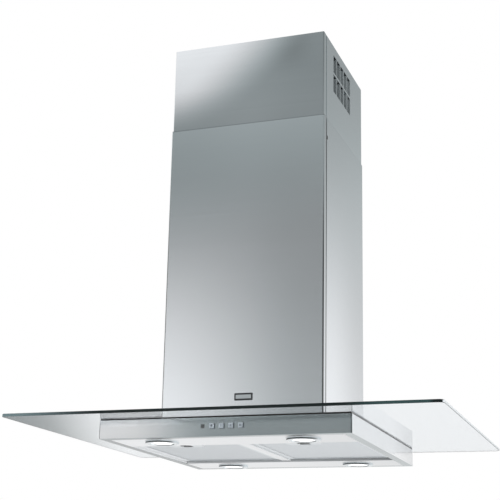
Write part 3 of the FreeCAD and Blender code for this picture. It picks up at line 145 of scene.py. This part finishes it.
class Finish(Shader):
    """One surface finish: a material with a Principled surface."""

    def __init__(self, name, **sockets):
        self.material = bpy.data.materials.new(name)
        self.material.use_nodes = True
        super().__init__(self.material.node_tree)
        self.surface = self.tree.nodes["Principled BSDF"]
        self.place = self.node("ShaderNodeTexCoord", {}, {}, "Object")
        self.facing = self.node("ShaderNodeTexCoord", {}, {}, "Normal")
        self.set(**sockets)

    def set(self, **sockets):
        """Sets sockets of the Principled surface; Base_Color stands for Base Color."""
        for name, value in sockets.items():
            self.feed(self.surface.inputs[name.replace("_", " ")], value)

    def noise(self, scale, detail=2.0, roughness=0.5):
        """Noise with its own scale, per metre, along each axis."""
        spread = self.node("ShaderNodeVectorMath", {"operation": "MULTIPLY"}, {0: self.place, 1: scale})
        return self.node("ShaderNodeTexNoise", {},
                         {"Vector": spread, "Scale": 1.0, "Detail": detail, "Roughness": roughness})

    def bump(self, height, depth, strength=1.0):
        """Relief that is this deep, in metres."""
        relief = {"Strength": strength, "Distance": depth, "Height": height}
        self.set(Normal=self.node("ShaderNodeBump", {}, relief))

    def satin(self, rough):
        """The slight unevenness of plated, turned or cast metal."""
        cloud = self.noise(even(60.0), 4.0, 0.6)
        self.set(Roughness=cloud * 0.1 + rough)
        self.bump(cloud, SATIN_DEPTH)
        return cloud

    def plain_surface(self):
        return Field(self, self.surface.outputs[0])

    def cover_with(self, shader):
        """Shows this shader in place of the plain Principled surface."""
        self.feed(self.tree.nodes["Material Output"].inputs["Surface"], shader)


def even(scale):
    """The same scale along each axis."""
    return (scale, scale, scale)


def grey(level, tint=(1.0, 1.0, 1.0)):
    """A grey of this level, with a slight tint."""
    return tuple(level * part for part in tint) + (1.0,)


BLACK = grey(0.0)
STEEL_TINT = (0.90, 0.965, 1.0)
DEEP_TINT = (0.845, 0.965, 1.0)
PALE_TINT = (0.935, 0.968, 1.0)
BRIGHT_TINT = (0.97, 0.985, 1.0)
FILTER_TINT = (0.94, 0.985, 1.02)

# brush strokes per metre along each axis: few along the strokes, many across them
BRUSHED_LEVEL = (2.5, 2.5, 700.0)
BRUSHED_ACROSS = (2.5, 700.0, 700.0)

# how deep the surface textures are, in metres
BRUSH_DEPTH = 0.00004
SATIN_DEPTH = 0.00001
FLAKE_DEPTH = 0.00002
GRAIN_DEPTH = 0.00003
FROST_DEPTH = 0.00005
STRAND_DEPTH = 0.0004

# a wall faces along an axis where its normal there is past this
SQUARE_ON = 0.7

# ---- places on the hood, in metres: x to the right, y to the back, z up from the ceiling ----
UPPER_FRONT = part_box("upper_cover_front")[0][1]
UPPER_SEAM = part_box("upper_cover_front")[1][1]
LOWER_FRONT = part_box("lower_cover_front")[0][1]
LOWER_SIDE, LOWER_SEAM, LOWER_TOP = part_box("lower_cover_front")[1]
COVER_GAP = 0.004
CANOPY_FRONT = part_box("canopy_casing")[0][1]
CANOPY_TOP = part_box("canopy_casing")[1][2]
FILTER_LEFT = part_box("filter_frame_left")[0][0]
RING_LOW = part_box("lamp_rings")[0][2]
LAMP_X = 0.150
LAMP_Y = 0.213
LENS_MIDDLE = 0.011
LENS_EDGE = 0.0245
MESH_PITCH = 0.0032


# ---- sheet steel ----
def brushed_steel(name, strokes, rough, painted_sheen, spread=0.06, relief=0.2, bright=PALE_TINT, matt_and_painted_lit=None):
    """Sheet steel; its tone and paleness are a painted reflection, brightness set by place, and its matt
    areas, with their colour, include walls painted pale as a painted highlight.
    """
    finish = Finish(name, Metallic=1.0, Anisotropic=0.45)
    fine = finish.noise(strokes, 3.0, 0.65)
    bands = finish.noise(tuple(0.12 * scale for scale in strokes))
    cloud = finish.noise(even(3.0))
    # painted reflection: the level is brightness set by place on the sheet, pale sets its tint
    level, pale = painted_sheen(finish)
    strokes_tone = fine * 0.5 + bands * 0.3 + cloud * 0.2
    tone = (strokes_tone - 0.5) * (2.0 * spread) + level
    colour = finish.blend(tone, BLACK, finish.blend(pale, grey(1.0, DEEP_TINT), grey(1.0, bright)))
    roughness = fine * (0.7 * relief) + cloud * 0.06 + (rough - 0.03 - 0.35 * relief)
    # matt areas: the punched vent edges, and walls painted pale as a painted highlight
    if matt_and_painted_lit is not None:
        area, matt_and_lit_colour = matt_and_painted_lit(finish)
        colour = finish.blend(area, colour, matt_and_lit_colour)
        roughness = roughness + area * 0.3
        finish.set(Metallic=1.0 - area * 0.9)
    finish.set(Base_Color=colour, Roughness=roughness)
    finish.bump(fine, BRUSH_DEPTH, relief)
    return finish.material


def shade_bends(finish, level, depth=0.62):
    """Paints shade where the sheet turns an upright corner, or a painted highlight there where depth is below
    0.
    """
    across, along, _ = finish.split(finish.facing)
    bend = abs(across * along).rise(0.03, 0.22)
    return level * (1.0 - bend * depth)


def upper_sheen(finish):
    """Painted reflection on the upper chimney: its front is brightest at its top left and its sides are even,
    with painted shade in the seam between the covers and a painted highlight on the bends.
    """
    x, y, z = finish.split(finish.place)
    front = y.fall(UPPER_FRONT + 0.0003, UPPER_FRONT + 0.0058)
    # painted highlight sweeping down to the left across the front
    painted_sweep = (0.085 + z - x).rise(-0.065, 0.155) * z.rise(-0.21, -0.09)
    low_tone = z.fall(-0.20, -0.06) * 0.09
    corner = x.rise(0.02, 0.10) * x.fall(0.10, 0.17) * z.rise(-0.10, -0.03) * 0.06
    middle = abs(x).fall(0.0, 0.12) * 0.03
    quiet = low_tone + x * 0.06 + 0.37 - corner + middle
    glow = quiet + painted_sweep * (1.0 - quiet)
    # painted shade in the seam between the front and rear covers
    groove_shade = y.within(UPPER_SEAM - 0.0005, UPPER_SEAM + COVER_GAP + 0.001, 0.001)
    side = 0.88 - groove_shade * 0.25
    level = glow * front + side * (1.0 - front)
    return shade_bends(finish, level, -0.45), glow.rise(0.35, 0.90) * front


def lower_sheen(finish):
    """Painted reflection on the lower chimney: it brightens downwards, most at the left of its front, with
    painted shade in the seam, on the front cover's side return, along the top edge and near the front's side
    edges.
    """
    x, y, z = finish.split(finish.place)
    front = y.fall(LOWER_FRONT + 0.0005, LOWER_FRONT + 0.0055)
    low = z.fall(-0.68, -0.24)
    left = x.fall(-0.18, 0.16)
    rear = y.rise(-0.14, 0.16)
    # painted shade in the seam between the covers, on the front cover's side return, along the top edge and
    # near the front's side edges
    groove_shade = y.within(LOWER_SEAM - 0.0017, LOWER_SEAM + COVER_GAP + 0.001, 0.0015)
    fold_shade = y.fall(LOWER_SEAM + 0.0005, LOWER_SEAM + 0.002)
    rim = z.rise(LOWER_TOP - 0.0018, LOWER_TOP - 0.0012)
    edges = abs(x).rise(LOWER_SIDE - 0.0033, LOWER_SIDE - 0.002) * front * z.fall(-0.62, -0.30)
    glow = 0.605 + x * 0.25 + low * left * 0.33 + abs(x).fall(0.0, 0.13) * 0.018
    side = (0.84 + low * 0.14 - rear * low * 0.27 - fold_shade * 0.12) * (1.0 - groove_shade * 0.72)
    level = glow * front + side * (1.0 - front)
    level = level * (1.0 - rim * (front * 0.35 + 0.10)) * (1.0 - edges * 0.55)
    pale_front = z.fall(-0.50, -0.24) * 0.6 + glow.rise(0.60, 0.90) * 0.4
    pale = pale_front * front + z.fall(-0.75, -0.05) * (1.0 - front)
    # painted shade on the bends low down, painted highlight on them higher up
    return shade_bends(finish, level, z.fall(-0.55, -0.22) * 0.92 - 0.30), pale


def canopy_sheen(finish):
    """Painted reflection on the canopy: its front deepens from left to right, with painted shade along its
    top at the right and a painted highlight along its top at the left; its sides are pale, its underside rim
    grey.
    """
    x, y, z = finish.split(finish.place)
    front = y.fall(CANOPY_FRONT + 0.0003, CANOPY_FRONT + 0.004)
    under = finish.split(finish.facing)[2] < -0.6
    right = x.rise(-0.20, -0.01)
    # painted shade along the top of the front at the right, painted highlight along it at the left
    crest_shade = z.rise(CANOPY_TOP - 0.0132, CANOPY_TOP - 0.0022) * x.rise(-0.05, 0.24)
    top_left_highlight = z.rise(CANOPY_TOP - 0.0162, CANOPY_TOP - 0.0032) * x.fall(-0.10, -0.06)
    top_left_highlight = top_left_highlight * (x.rise(-0.17, -0.12) * 0.16 + 0.24)
    front_tone = 0.60 - right * 0.275 + x.rise(0.03, 0.25) * 0.09
    front_tone = front_tone * (1.0 - crest_shade * 0.5) * (1.0 + top_left_highlight)
    wall_tone = 0.98 - y.rise(0.02, 0.28) * 0.22
    rim_tone = 0.30 + x.rise(-0.2, 0.2) * 0.22
    side_tone = wall_tone * (1.0 - under) + rim_tone * under
    level = front_tone * front + side_tone * (1.0 - front)
    # painted shade on the bends
    return shade_bends(finish, level), (1.0 - right * front) * (1.0 - under * 0.8)


def panel_sheen(finish):
    """Painted reflection on the bottom panel: it fades to the right, with painted shade on the recess wall
    behind the filters.
    """
    x, y, _ = finish.split(finish.place)
    # painted shade on the recess wall behind the filters, deepest at the right
    rear_wall_shade = (finish.split(finish.facing)[1] < -SQUARE_ON) * (y > 0.1)
    painted_fade = x.rise(-0.15, 0.30) * 0.12
    return 0.985 - painted_fade - rear_wall_shade * (x.rise(0.0, 0.25) * 0.09 + 0.39), 1.0


def plate_sheen(finish):
    """The small plate is even in tone."""
    return 0.55, 0.5


def vent_edges(finish):
    """The punched walls of the vent slots."""
    across = abs(finish.split(finish.facing)[0])
    y = finish.split(finish.place)[1]
    return (across < 0.5) * (abs(y) < 0.13), grey(0.24, DEEP_TINT)


def pale_walls(finish):
    """The walls left of the two filters, painted pale as a painted highlight."""
    faces_right = finish.split(finish.facing)[0] > SQUARE_ON
    return faces_right * (finish.split(finish.place)[0] < 0.1), grey(0.99, BRIGHT_TINT)


# ---- glass and lamps ----
def clear_glass():
    """Clear plate, darkened at its front left corner by painted shade, with deep green ground front edges,
    whose tone along them is painted light, and milky others.
    """
    finish = Finish("clear_glass", Roughness=0.0, IOR=1.5, Transmission_Weight=1.0)
    x, y, _ = finish.split(finish.place)
    across, along, upward = finish.split(finish.facing)
    # painted shade: the glass darkens towards its front left corner
    shade_from_corner = x + y * 0.42 + 0.597
    tint = finish.blend(shade_from_corner.rise(0.09, 0.27), (0.14, 0.185, 0.20, 1.0), (0.90, 0.94, 0.972, 1.0))
    # the strip ahead of the canopy carries painted shade left of the chimney, and is calm in front of it
    ahead = y.fall(CANOPY_FRONT + 0.019, CANOPY_FRONT + 0.021)
    past_left = (x + y * 0.436).rise(-0.2500, -0.2460)
    shaded = ahead * (x + y * 0.497).rise(-0.4020, -0.3990) * (1.0 - past_left)
    calm = ahead * past_left * (x + y * 0.259).fall(0.190, 0.193)
    finish.set(Base_Color=finish.blend(shaded * 0.26, tint, BLACK))
    calm_glass = finish.node("ShaderNodeBsdfPrincipled", {},
                             {"Base Color": (0.96, 0.975, 0.98, 1.0), "Roughness": 0.0,
                              "IOR": 1.02, "Transmission Weight": 1.0})
    plate = finish.mix(calm * 0.9, finish.plain_surface(), calm_glass)

    streak = finish.noise((8.0, 8.0, 300.0))
    pale = finish.blend(streak, (0.08, 0.12, 0.13, 1.0), (0.14, 0.19, 0.20, 1.0))
    deep = finish.blend(streak, (0.002, 0.004, 0.004, 1.0), (0.010, 0.016, 0.016, 1.0))
    milky = finish.blend(streak, (0.60, 0.64, 0.67, 1.0), (0.74, 0.78, 0.80, 1.0))
    # painted light along the front edge: paler towards its left end and a lighter teal near its right end
    right = x.rise(0.26, 0.34) * x.fall(0.42, 0.435)
    deep = finish.blend(right, deep, (0.022, 0.045, 0.046, 1.0))
    front_edge = finish.blend(x.rise(-0.45, -0.22), pale, deep)
    other_edges = abs(across).either(along).rise(0.6, 0.9)
    edge = finish.node("ShaderNodeBsdfPrincipled", {},
                       {"Base Color": finish.blend(other_edges, front_edge, milky), "Roughness": 0.25,
                        "IOR": 1.5, "Specular IOR Level": 0.15})
    finish.cover_with(finish.mix(abs(upward) < 0.9, plate, edge))
    return finish.material


def seal_rubber():
    """Black seal, painted grey on its two end faces as a painted highlight."""
    finish = Finish("seal_rubber", Specular_IOR_Level=0.2)
    cloud = finish.noise(even(200.0), 3.0, 0.6)
    # painted highlight: the end faces are painted grey
    lit_end_face = abs(finish.split(finish.facing)[0]).rise(0.6, 0.9)
    black = finish.blend(cloud, grey(0.006), grey(0.014))
    finish.set(Base_Color=finish.blend(lit_end_face, black, grey(0.24)), Roughness=cloud * 0.12 + 0.58)
    finish.bump(cloud, GRAIN_DEPTH)
    return finish.material


def ring_chrome():
    """Polished rings whose proud walls towards the front carry painted shade."""
    finish = Finish("lamp_chrome", Metallic=1.0)
    across, along, _ = finish.split(finish.facing)
    proud = finish.split(finish.place)[2].fall(RING_LOW + 0.0023, RING_LOW + 0.0031)
    # painted shade on the proud walls that face the front
    front_wall_shade = (-along - across * 0.12).rise(0.15, 0.60) * proud
    tone = 0.86 - front_wall_shade * 0.74 - finish.satin(0.12) * 0.05
    finish.set(Base_Color=finish.blend(tone, BLACK, grey(1.0, STEEL_TINT)))
    return finish.material


def lamp_glow():
    """Frosted lenses, brightest in the middle of each lamp."""
    finish = Finish("lamp_glow", Roughness=0.4, Emission_Strength=1.2)
    x, y, _ = finish.split(finish.place)
    off_x = abs(abs(x) - LAMP_X)
    off_y = abs(abs(y) - LAMP_Y)
    off_centre = finish.maths("SQRT", off_x * off_x + off_y * off_y)
    glow = finish.blend(off_centre.rise(LENS_MIDDLE, LENS_EDGE), (1.0, 0.99, 0.96, 1.0),
                        (0.20, 0.22, 0.235, 1.0))
    frost = finish.noise(even(900.0))
    finish.set(Base_Color=finish.blend(frost, grey(0.86), grey(0.95)), Emission_Color=glow)
    finish.bump(frost, FROST_DEPTH, 0.4)
    return finish.material


# ---- filters and controls ----
def filter_frame_metal():
    """Satin aluminium with a painted highlight: pale under the outer left member and on the inner walls that
    face right.
    """
    finish = Finish("filter_frame_aluminium")
    # painted highlight on the walls that face right and under the outer left member
    lit_inner_wall = finish.split(finish.facing)[0] > SQUARE_ON
    lit_outer_member = finish.split(finish.place)[0].fall(FILTER_LEFT + 0.0094, FILTER_LEFT + 0.0104)
    plain = finish.blend(finish.satin(0.33), (0.74, 0.78, 0.80, 1.0), (0.82, 0.86, 0.885, 1.0))
    pale = grey(0.97, BRIGHT_TINT)
    finish.set(Base_Color=finish.blend(lit_inner_wall.either(lit_outer_member), plain, pale),
               Metallic=1.0 - lit_inner_wall * 0.95)
    return finish.material


def filter_mesh():
    """Layers of expanded aluminium seen as small diamonds, with painted light making them lighter towards the
    right.
    """
    finish = Finish("filter_mesh", Metallic=0.85)
    x, y, _ = finish.split(finish.place)
    turn = 2 * math.pi / MESH_PITCH
    slant = finish.maths("SINE", x * turn + y * (0.5 * turn))
    counter = finish.maths("SINE", x * turn - y * (0.5 * turn))
    strand = abs(slant * counter)
    fleck = finish.noise(even(420.0), 2.0, 0.7)
    # x * 0.8 is painted light: the mesh grows lighter towards the right
    tone = strand * 0.45 + fleck * 0.55 + x * 0.8
    finish.set(Base_Color=finish.blend(tone, grey(0.63, FILTER_TINT), grey(0.85, FILTER_TINT)),
               Roughness=fleck * 0.25 + 0.32)
    finish.bump(strand, STRAND_DEPTH, 0.5)
    return finish.material


def button_metal():
    """Pale blue-grey satin caps."""
    finish = Finish("button_metal", Metallic=0.55)
    cloud = finish.noise((500.0, 500.0, 3000.0), 2.0, 0.6)
    finish.set(Base_Color=finish.blend(cloud, (0.29, 0.33, 0.365, 1.0), (0.36, 0.405, 0.44, 1.0)),
               Roughness=cloud * 0.12 + 0.3)
    finish.bump(cloud, SATIN_DEPTH)
    return finish.material


# ---- inner pieces ----
def galvanised(name, level=0.55):
    """Zinc-coated sheet with its broad crystal pattern."""
    finish = Finish(name, Metallic=1.0)
    crystals = finish.node("ShaderNodeTexVoronoi", {}, {"Vector": finish.place, "Scale": 120.0}, "Color")
    flake = finish.split(crystals)[0]
    cloud = finish.noise(even(9.0), 3.0, 0.6)
    tone = flake * 0.5 + cloud * 0.5
    finish.set(Base_Color=finish.blend(tone, grey(level - 0.12, STEEL_TINT), grey(level + 0.10, STEEL_TINT)),
               Roughness=flake * 0.15 + 0.34)
    finish.bump(flake, FLAKE_DEPTH)
    return finish.material


def plain_metal(name, colour, rough):
    """Cast, turned or plated metal with slight unevenness."""
    finish = Finish(name, Metallic=1.0)
    worn = tuple(part - 0.06 for part in colour) + (1.0,)
    finish.set(Base_Color=finish.blend(finish.satin(rough - 0.05), worn, colour + (1.0,)))
    return finish.material


def moulded(name, colour, rough=0.5, grain=1400.0, lift=0.03, coat=0.0):
    """Moulded plastic, rubber or enamel with a fine surface texture."""
    finish = Finish(name, Coat_Weight=coat)
    texture = finish.noise(even(grain), 2.0, 0.6)
    cloud = finish.noise(even(14.0), 3.0, 0.6)
    light = tuple(part + lift for part in colour) + (1.0,)
    finish.set(Base_Color=finish.blend(cloud, colour + (1.0,), light),
               Roughness=texture * 0.12 + cloud * 0.08 + (rough - 0.1))
    finish.bump(texture, GRAIN_DEPTH, 0.6)
    return finish.material


def circuit_board():
    """Green lacquer with pale tracks."""
    finish = Finish("circuit_board", Roughness=0.3, Coat_Weight=0.3)
    tracks = finish.node("ShaderNodeTexBrick", {}, {"Vector": finish.place, "Scale": 90.0}, "Fac")
    cloud = finish.noise(even(60.0))
    green = finish.blend(cloud, (0.012, 0.09, 0.035, 1.0), (0.02, 0.14, 0.05, 1.0))
    finish.set(Base_Color=finish.blend(tracks, green, (0.10, 0.26, 0.10, 1.0)))
    return finish.material


def paint(material, *names):
    """Gives CAD pieces their finish."""
    for name in names:
        mesh = nodes[name].data
        if mesh.materials:
            for i in range(len(mesh.materials)):
                mesh.materials[i] = material
        else:
            mesh.materials.append(material)


def paint_outside():
    """Finishes of the pieces that are seen from outside."""
    lower_steel = brushed_steel("chimney_steel", BRUSHED_LEVEL, 0.24, lower_sheen, 0.03, relief=0.1)
    upper_steel = brushed_steel("upper_chimney_steel", BRUSHED_LEVEL, 0.2, upper_sheen, 0.04, relief=0.1,
                                matt_and_painted_lit=vent_edges)
    canopy_steel = brushed_steel("canopy_steel", BRUSHED_LEVEL, 0.22, canopy_sheen, 0.035, bright=BRIGHT_TINT)
    panel_steel = brushed_steel("panel_steel", BRUSHED_ACROSS, 0.34, panel_sheen, bright=BRIGHT_TINT,
                                matt_and_painted_lit=pale_walls)
    paint(lower_steel, "lower_cover_front", "lower_cover_rear")
    paint(upper_steel, "upper_cover_front", "upper_cover_rear")
    paint(canopy_steel, "canopy_casing")
    paint(panel_steel, "inner_panel", "centre_bar")
    paint(clear_glass(), "glass_plate")
    paint(seal_rubber(), "canopy_seal")
    paint(ring_chrome(), "lamp_rings")
    paint(lamp_glow(), "lamp_lenses")
    paint(filter_frame_metal(), "filter_frame_left", "filter_frame_right")
    paint(filter_mesh(), "filter_mesh_left", "filter_mesh_right")
    paint(button_metal(), "button_light", "button_speed_1", "button_speed_2", "button_speed_3")
    paint(moulded("indicator_lens", (0.022, 0.027, 0.029), 0.3, coat=0.2), "indicator_window")


def paint_inside():
    """Finishes of the pieces that the covers and the canopy hold."""
    paint(galvanised("galvanised_frame"), "ceiling_bracket", "upper_uprights", "lower_uprights", "tie_ring",
          "base_ring", "chassis_plate", "motor_bracket", "blower_rails")
    paint(galvanised("galvanised_blower", 0.60), "scroll_housing", "scroll_cover", "blower_wheel")
    paint(plain_metal("zinc_fasteners", (0.62, 0.62, 0.58), 0.35), "upright_screws", "upper_cover_screws",
          "lower_cover_screws", "frame_clamp_screws", "frame_clamp_nuts", "clamp_bolts", "clamp_nuts",
          "blower_screws")
    paint(plain_metal("shaft_steel", (0.55, 0.56, 0.57), 0.2), "motor_shaft", "flap_rod")
    paint(plain_metal("flap_aluminium", (0.66, 0.67, 0.68), 0.4), "flap_front", "flap_rear")
    paint(moulded("black_rubber", (0.010, 0.010, 0.011), 0.65, lift=0.01), "clamp_seal", "blower_grommets")
    paint(moulded("black_plastic", (0.018, 0.018, 0.020), 0.5, lift=0.012), "latch_left", "latch_right",
          "switch_module", "clamp_spacers", "cable_gland", "outlet_transition", "outlet_collar", "seam_clips")
    paint(moulded("grey_plastic", (0.25, 0.26, 0.27)), "control_box", "control_box_lid")
    paint(moulded("motor_enamel", (0.06, 0.065, 0.07), 0.4, 500.0, coat=0.2), "motor")
    paint(moulded("lamp_can_enamel", (0.70, 0.70, 0.68), 0.45, 700.0), "lamp_cans")
    paint(moulded("transformer_varnish", (0.05, 0.035, 0.025), 0.35, 900.0, coat=0.3), "lamp_transformer")
    paint(moulded("capacitor_white", (0.76, 0.76, 0.73), 0.35), "capacitor")
    paint(circuit_board(), "power_board")


paint_outside()
paint_inside()


# ---- pieces made here ----
def piece(name, mesh, body, material):
    """A visible piece that rides on a body."""
    mesh.materials.append(material)
    made = bpy.data.objects.new(name, mesh)
    bpy.context.scene.collection.objects.link(made)
    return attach(made, body)


def disc(radius, z, steps=20):
    """Points of a circle above or below the origin."""
    turns = [2 * math.pi * i / steps for i in range(steps)]
    return [(radius * math.cos(turn), z + radius * math.sin(turn)) for turn in turns]


def bar(width, height, x=0.0, z=0.0):
    """Points of an upright rectangle about (x, z)."""
    return [(x - width / 2, z - height / 2), (x + width / 2, z - height / 2),
            (x + width / 2, z + height / 2), (x - width / 2, z + height / 2)]


def rounded_outline(width, height, radius, steps=5):
    """Points of a rectangle with round corners, about the origin."""
    points = []
    for side_x, side_z, start in ((1, 1, 0), (-1, 1, 90), (-1, -1, 180), (1, -1, 270)):
        for i in range(steps + 1):
            angle = math.radians(start + 90 * i / steps)
            points.append((side_x * (width / 2 - radius) + radius * math.cos(angle),
                           side_z * (height / 2 - radius) + radius * math.sin(angle)))
    return points


def raised_shape(name, outlines, centre, depth, bevel=0.0):
    """Mesh of flat shapes that stand proud of a front wall; each outline holds (x, z) points."""
    work = bmesh.new()
    for outline in outlines:
        widest = max(abs(x) for x, _ in outline)
        shrink = (widest - bevel) / widest
        back = [work.verts.new((centre[0] + x, centre[1], centre[2] + z)) for x, z in outline]
        front = [work.verts.new((centre[0] + x * shrink, centre[1] - depth, centre[2] + z * shrink))
                 for x, z in outline]
        work.faces.new(front)
        work.faces.new(list(reversed(back)))
        for i in range(len(outline)):
            j = (i + 1) % len(outline)
            work.faces.new((back[i], back[j], front[j], front[i]))
    bmesh.ops.recalc_face_normals(work, faces=work.faces)
    mesh = bpy.data.meshes.new(name)
    work.to_mesh(mesh)
    work.free()
    return mesh


def bare_plate():
    """The small plate low on the chimney's front: a dark rim round a bare steel face."""
    width, height, thickness = 0.040, 0.0155, 0.0008
    border_x, border_z = 0.00325, 0.00375
    centre = (0.0062, LOWER_FRONT, -0.7974)
    rim_outline = rounded_outline(width, height, radius=0.0015)
    rim = raised_shape("bare_plate_rim", [rim_outline], centre, thickness, bevel=0.0004)
    piece("bare_plate_rim", rim, "hood",
          moulded("plate_rim_enamel", (0.012, 0.014, 0.016), 0.4, lift=0.012))
    face_outline = rounded_outline(width - 2 * border_x, height - 2 * border_z, radius=0.001)
    face_centre = (centre[0], centre[1] - thickness, centre[2])
    face = raised_shape("bare_plate_face", [face_outline], face_centre, depth=0.0002, bevel=0.0001)
    piece("bare_plate_face", face, "hood",
          brushed_steel("plate_face_steel", BRUSHED_LEVEL, 0.3, plate_sheen))


def button_marks():
    """Small dark marks on the caps: a lamp, and one, two or three bars for the speeds."""
    dark_print = moulded("dark_print", (0.03, 0.035, 0.045), lift=0.01)
    bar_pitch = 0.0019
    lamp = [disc(0.0018, 0.0009), bar(0.0020, 0.0006, z=-0.0016), bar(0.0015, 0.0006, z=-0.0026)]
    marks = {"button_light": lamp}
    for count in (1, 2, 3):
        places = [(i - (count - 1) / 2) * bar_pitch for i in range(count)]
        marks["button_speed_" + str(count)] = [bar(0.0010, 0.0044, place) for place in places]
    for name, outlines in marks.items():
        low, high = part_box(name)
        centre = ((low[0] + high[0]) / 2, low[1], (low[2] + high[2]) / 2)
        mesh = raised_shape(name + "_mark", outlines, centre, depth=0.0001)
        piece(name + "_mark", mesh, name, dark_print)


bare_plate()
button_marks()

# ---- studio ----
FLOOR_LEVEL = -2.5
FLOOR_HALF_WIDTH = 24.0


def studio_floor():
    """Pale floor that looks white to the camera, to glass and, but for a dim corner, to metal."""
    work = bmesh.new()
    bmesh.ops.create_grid(work, x_segments=4, y_segments=4, size=FLOOR_HALF_WIDTH)
    mesh = bpy.data.meshes.new("studio_floor")
    work.to_mesh(mesh)
    work.free()
    finish = Finish("studio_floor", Roughness=0.8, Specular_IOR_Level=0.2)
    cloud = finish.noise(even(0.7))
    finish.set(Base_Color=finish.blend(cloud, grey(0.80), grey(0.84)))
    x, y, _ = finish.split(finish.place)
    bright_side = (x + y * 0.42 + 2.37).rise(0.14, 0.93) * 0.9 + 0.1
    seen_in_metal = finish.ray("Glossy") * bright_side
    seen = seen_in_metal.either(finish.ray("Transmission")).either(finish.ray("Camera") * 0.45)
    glow = finish.node("ShaderNodeEmission", {}, {"Color": grey(1.0), "Strength": 0.93})
    finish.cover_with(finish.mix(seen * 0.85, finish.plain_surface(), glow))
    mesh.materials.append(finish.material)
    floor = bpy.data.objects.new("studio_floor", mesh)
    floor.location = (0.0, 0.0, FLOOR_LEVEL)
    bpy.context.scene.collection.objects.link(floor)


def studio_surroundings():
    """White all round for the camera and the glass; metal sees it fall off upwards and in front."""
    world = bpy.data.worlds.new("studio")
    world.use_nodes = True
    bpy.context.scene.world = world
    studio = Shader(world.node_tree)
    x, y, z = studio.split(studio.node("ShaderNodeTexCoord", {}, {}, "Generated"))
    left = -x / (-y).either(0.05)
    low_box = left.rise(0.20, 0.50) * z.fall(0.10, 0.33)
    high_box = left.rise(0.10, 0.42) * z.rise(0.35, 0.44) * z.fall(0.50, 0.62)
    ahead = low_box * 1.2 + high_box * 0.75 + 0.33
    behind = 1.0 - z.rise(0.10, 0.44) * 0.64
    metal = ahead + (behind - ahead) * y.rise(-0.15, 0.15)
    shiny = studio.ray("Glossy")
    open_rays = studio.ray("Camera", "Transmission")
    level = shiny * metal + (1.0 - shiny) * 0.62
    level = open_rays + (1.0 - open_rays) * level
    background = world.node_tree.nodes["Background"]
    studio.feed(background.inputs["Strength"], level)
    studio.feed(background.inputs["Color"], grey(1.0))


def soft_lamp(name, place, aim, size, power):
    """A square soft lamp that faces aim and isn't mirrored in metal."""
    lamp = bpy.data.lights.new(name, "AREA")
    lamp.shape = "SQUARE"
    lamp.size = size
    lamp.energy = power
    made = bpy.data.objects.new(name, lamp)
    made.location = place
    made.rotation_euler = (Vector(aim) - Vector(place)).to_track_quat("-Z", "Y").to_euler()
    made.visible_glossy = False
    bpy.context.scene.collection.objects.link(made)


studio_floor()
studio_surroundings()
soft_lamp("left_lamp", (-2.6, -2.8, 0.6), (0.0, 0.0, -0.6), 1.8, 60.0)
soft_lamp("right_lamp", (2.8, -1.2, -0.2), (0.0, 0.0, -0.7), 1.8, 40.0)
soft_lamp("low_lamp", (0.3, -1.6, -1.5), (0.0, 0.0, -0.9), 1.2, 14.0)

# ---- camera ----
CAMERA_PLACE = (0.83435, -2.48212, -1.21265)
CAMERA_YAW = 0.3613
CAMERA_PITCH = 0.2668
CAMERA_ROLL = 0.0261
FOCAL_PIXELS = 1212.23
FRAME_PIXELS = 500.0
SHIFT = 0.05
SENSOR = 36.0


def photo_camera():
    """Camera at the photograph's viewing angle: turned by yaw, tilted up by pitch, then rolled."""
    cos_yaw, sin_yaw = math.cos(CAMERA_YAW), math.sin(CAMERA_YAW)
    cos_pitch, sin_pitch = math.cos(CAMERA_PITCH), math.sin(CAMERA_PITCH)
    cos_roll, sin_roll = math.cos(CAMERA_ROLL), math.sin(CAMERA_ROLL)
    forward = Vector((-sin_yaw * cos_pitch, cos_yaw * cos_pitch, sin_pitch))
    level = Vector((cos_yaw, sin_yaw, 0.0))
    above = level.cross(forward)
    right = level * cos_roll + above * sin_roll
    up = above * cos_roll - level * sin_roll
    lens = bpy.data.cameras.new("photo_camera")
    lens.sensor_width = SENSOR
    lens.lens = FOCAL_PIXELS / FRAME_PIXELS * SENSOR
    lens.shift_x = SHIFT
    lens.shift_y = SHIFT
    lens.clip_end = 60.0
    camera = bpy.data.objects.new("photo_camera", lens)
    turn = Matrix((right, up, -forward)).transposed().to_4x4()
    camera.matrix_world = Matrix.Translation(CAMERA_PLACE) @ turn
    bpy.context.scene.collection.objects.link(camera)
    bpy.context.scene.camera = camera


photo_camera()
bpy.context.scene.view_settings.view_transform = "Standard"
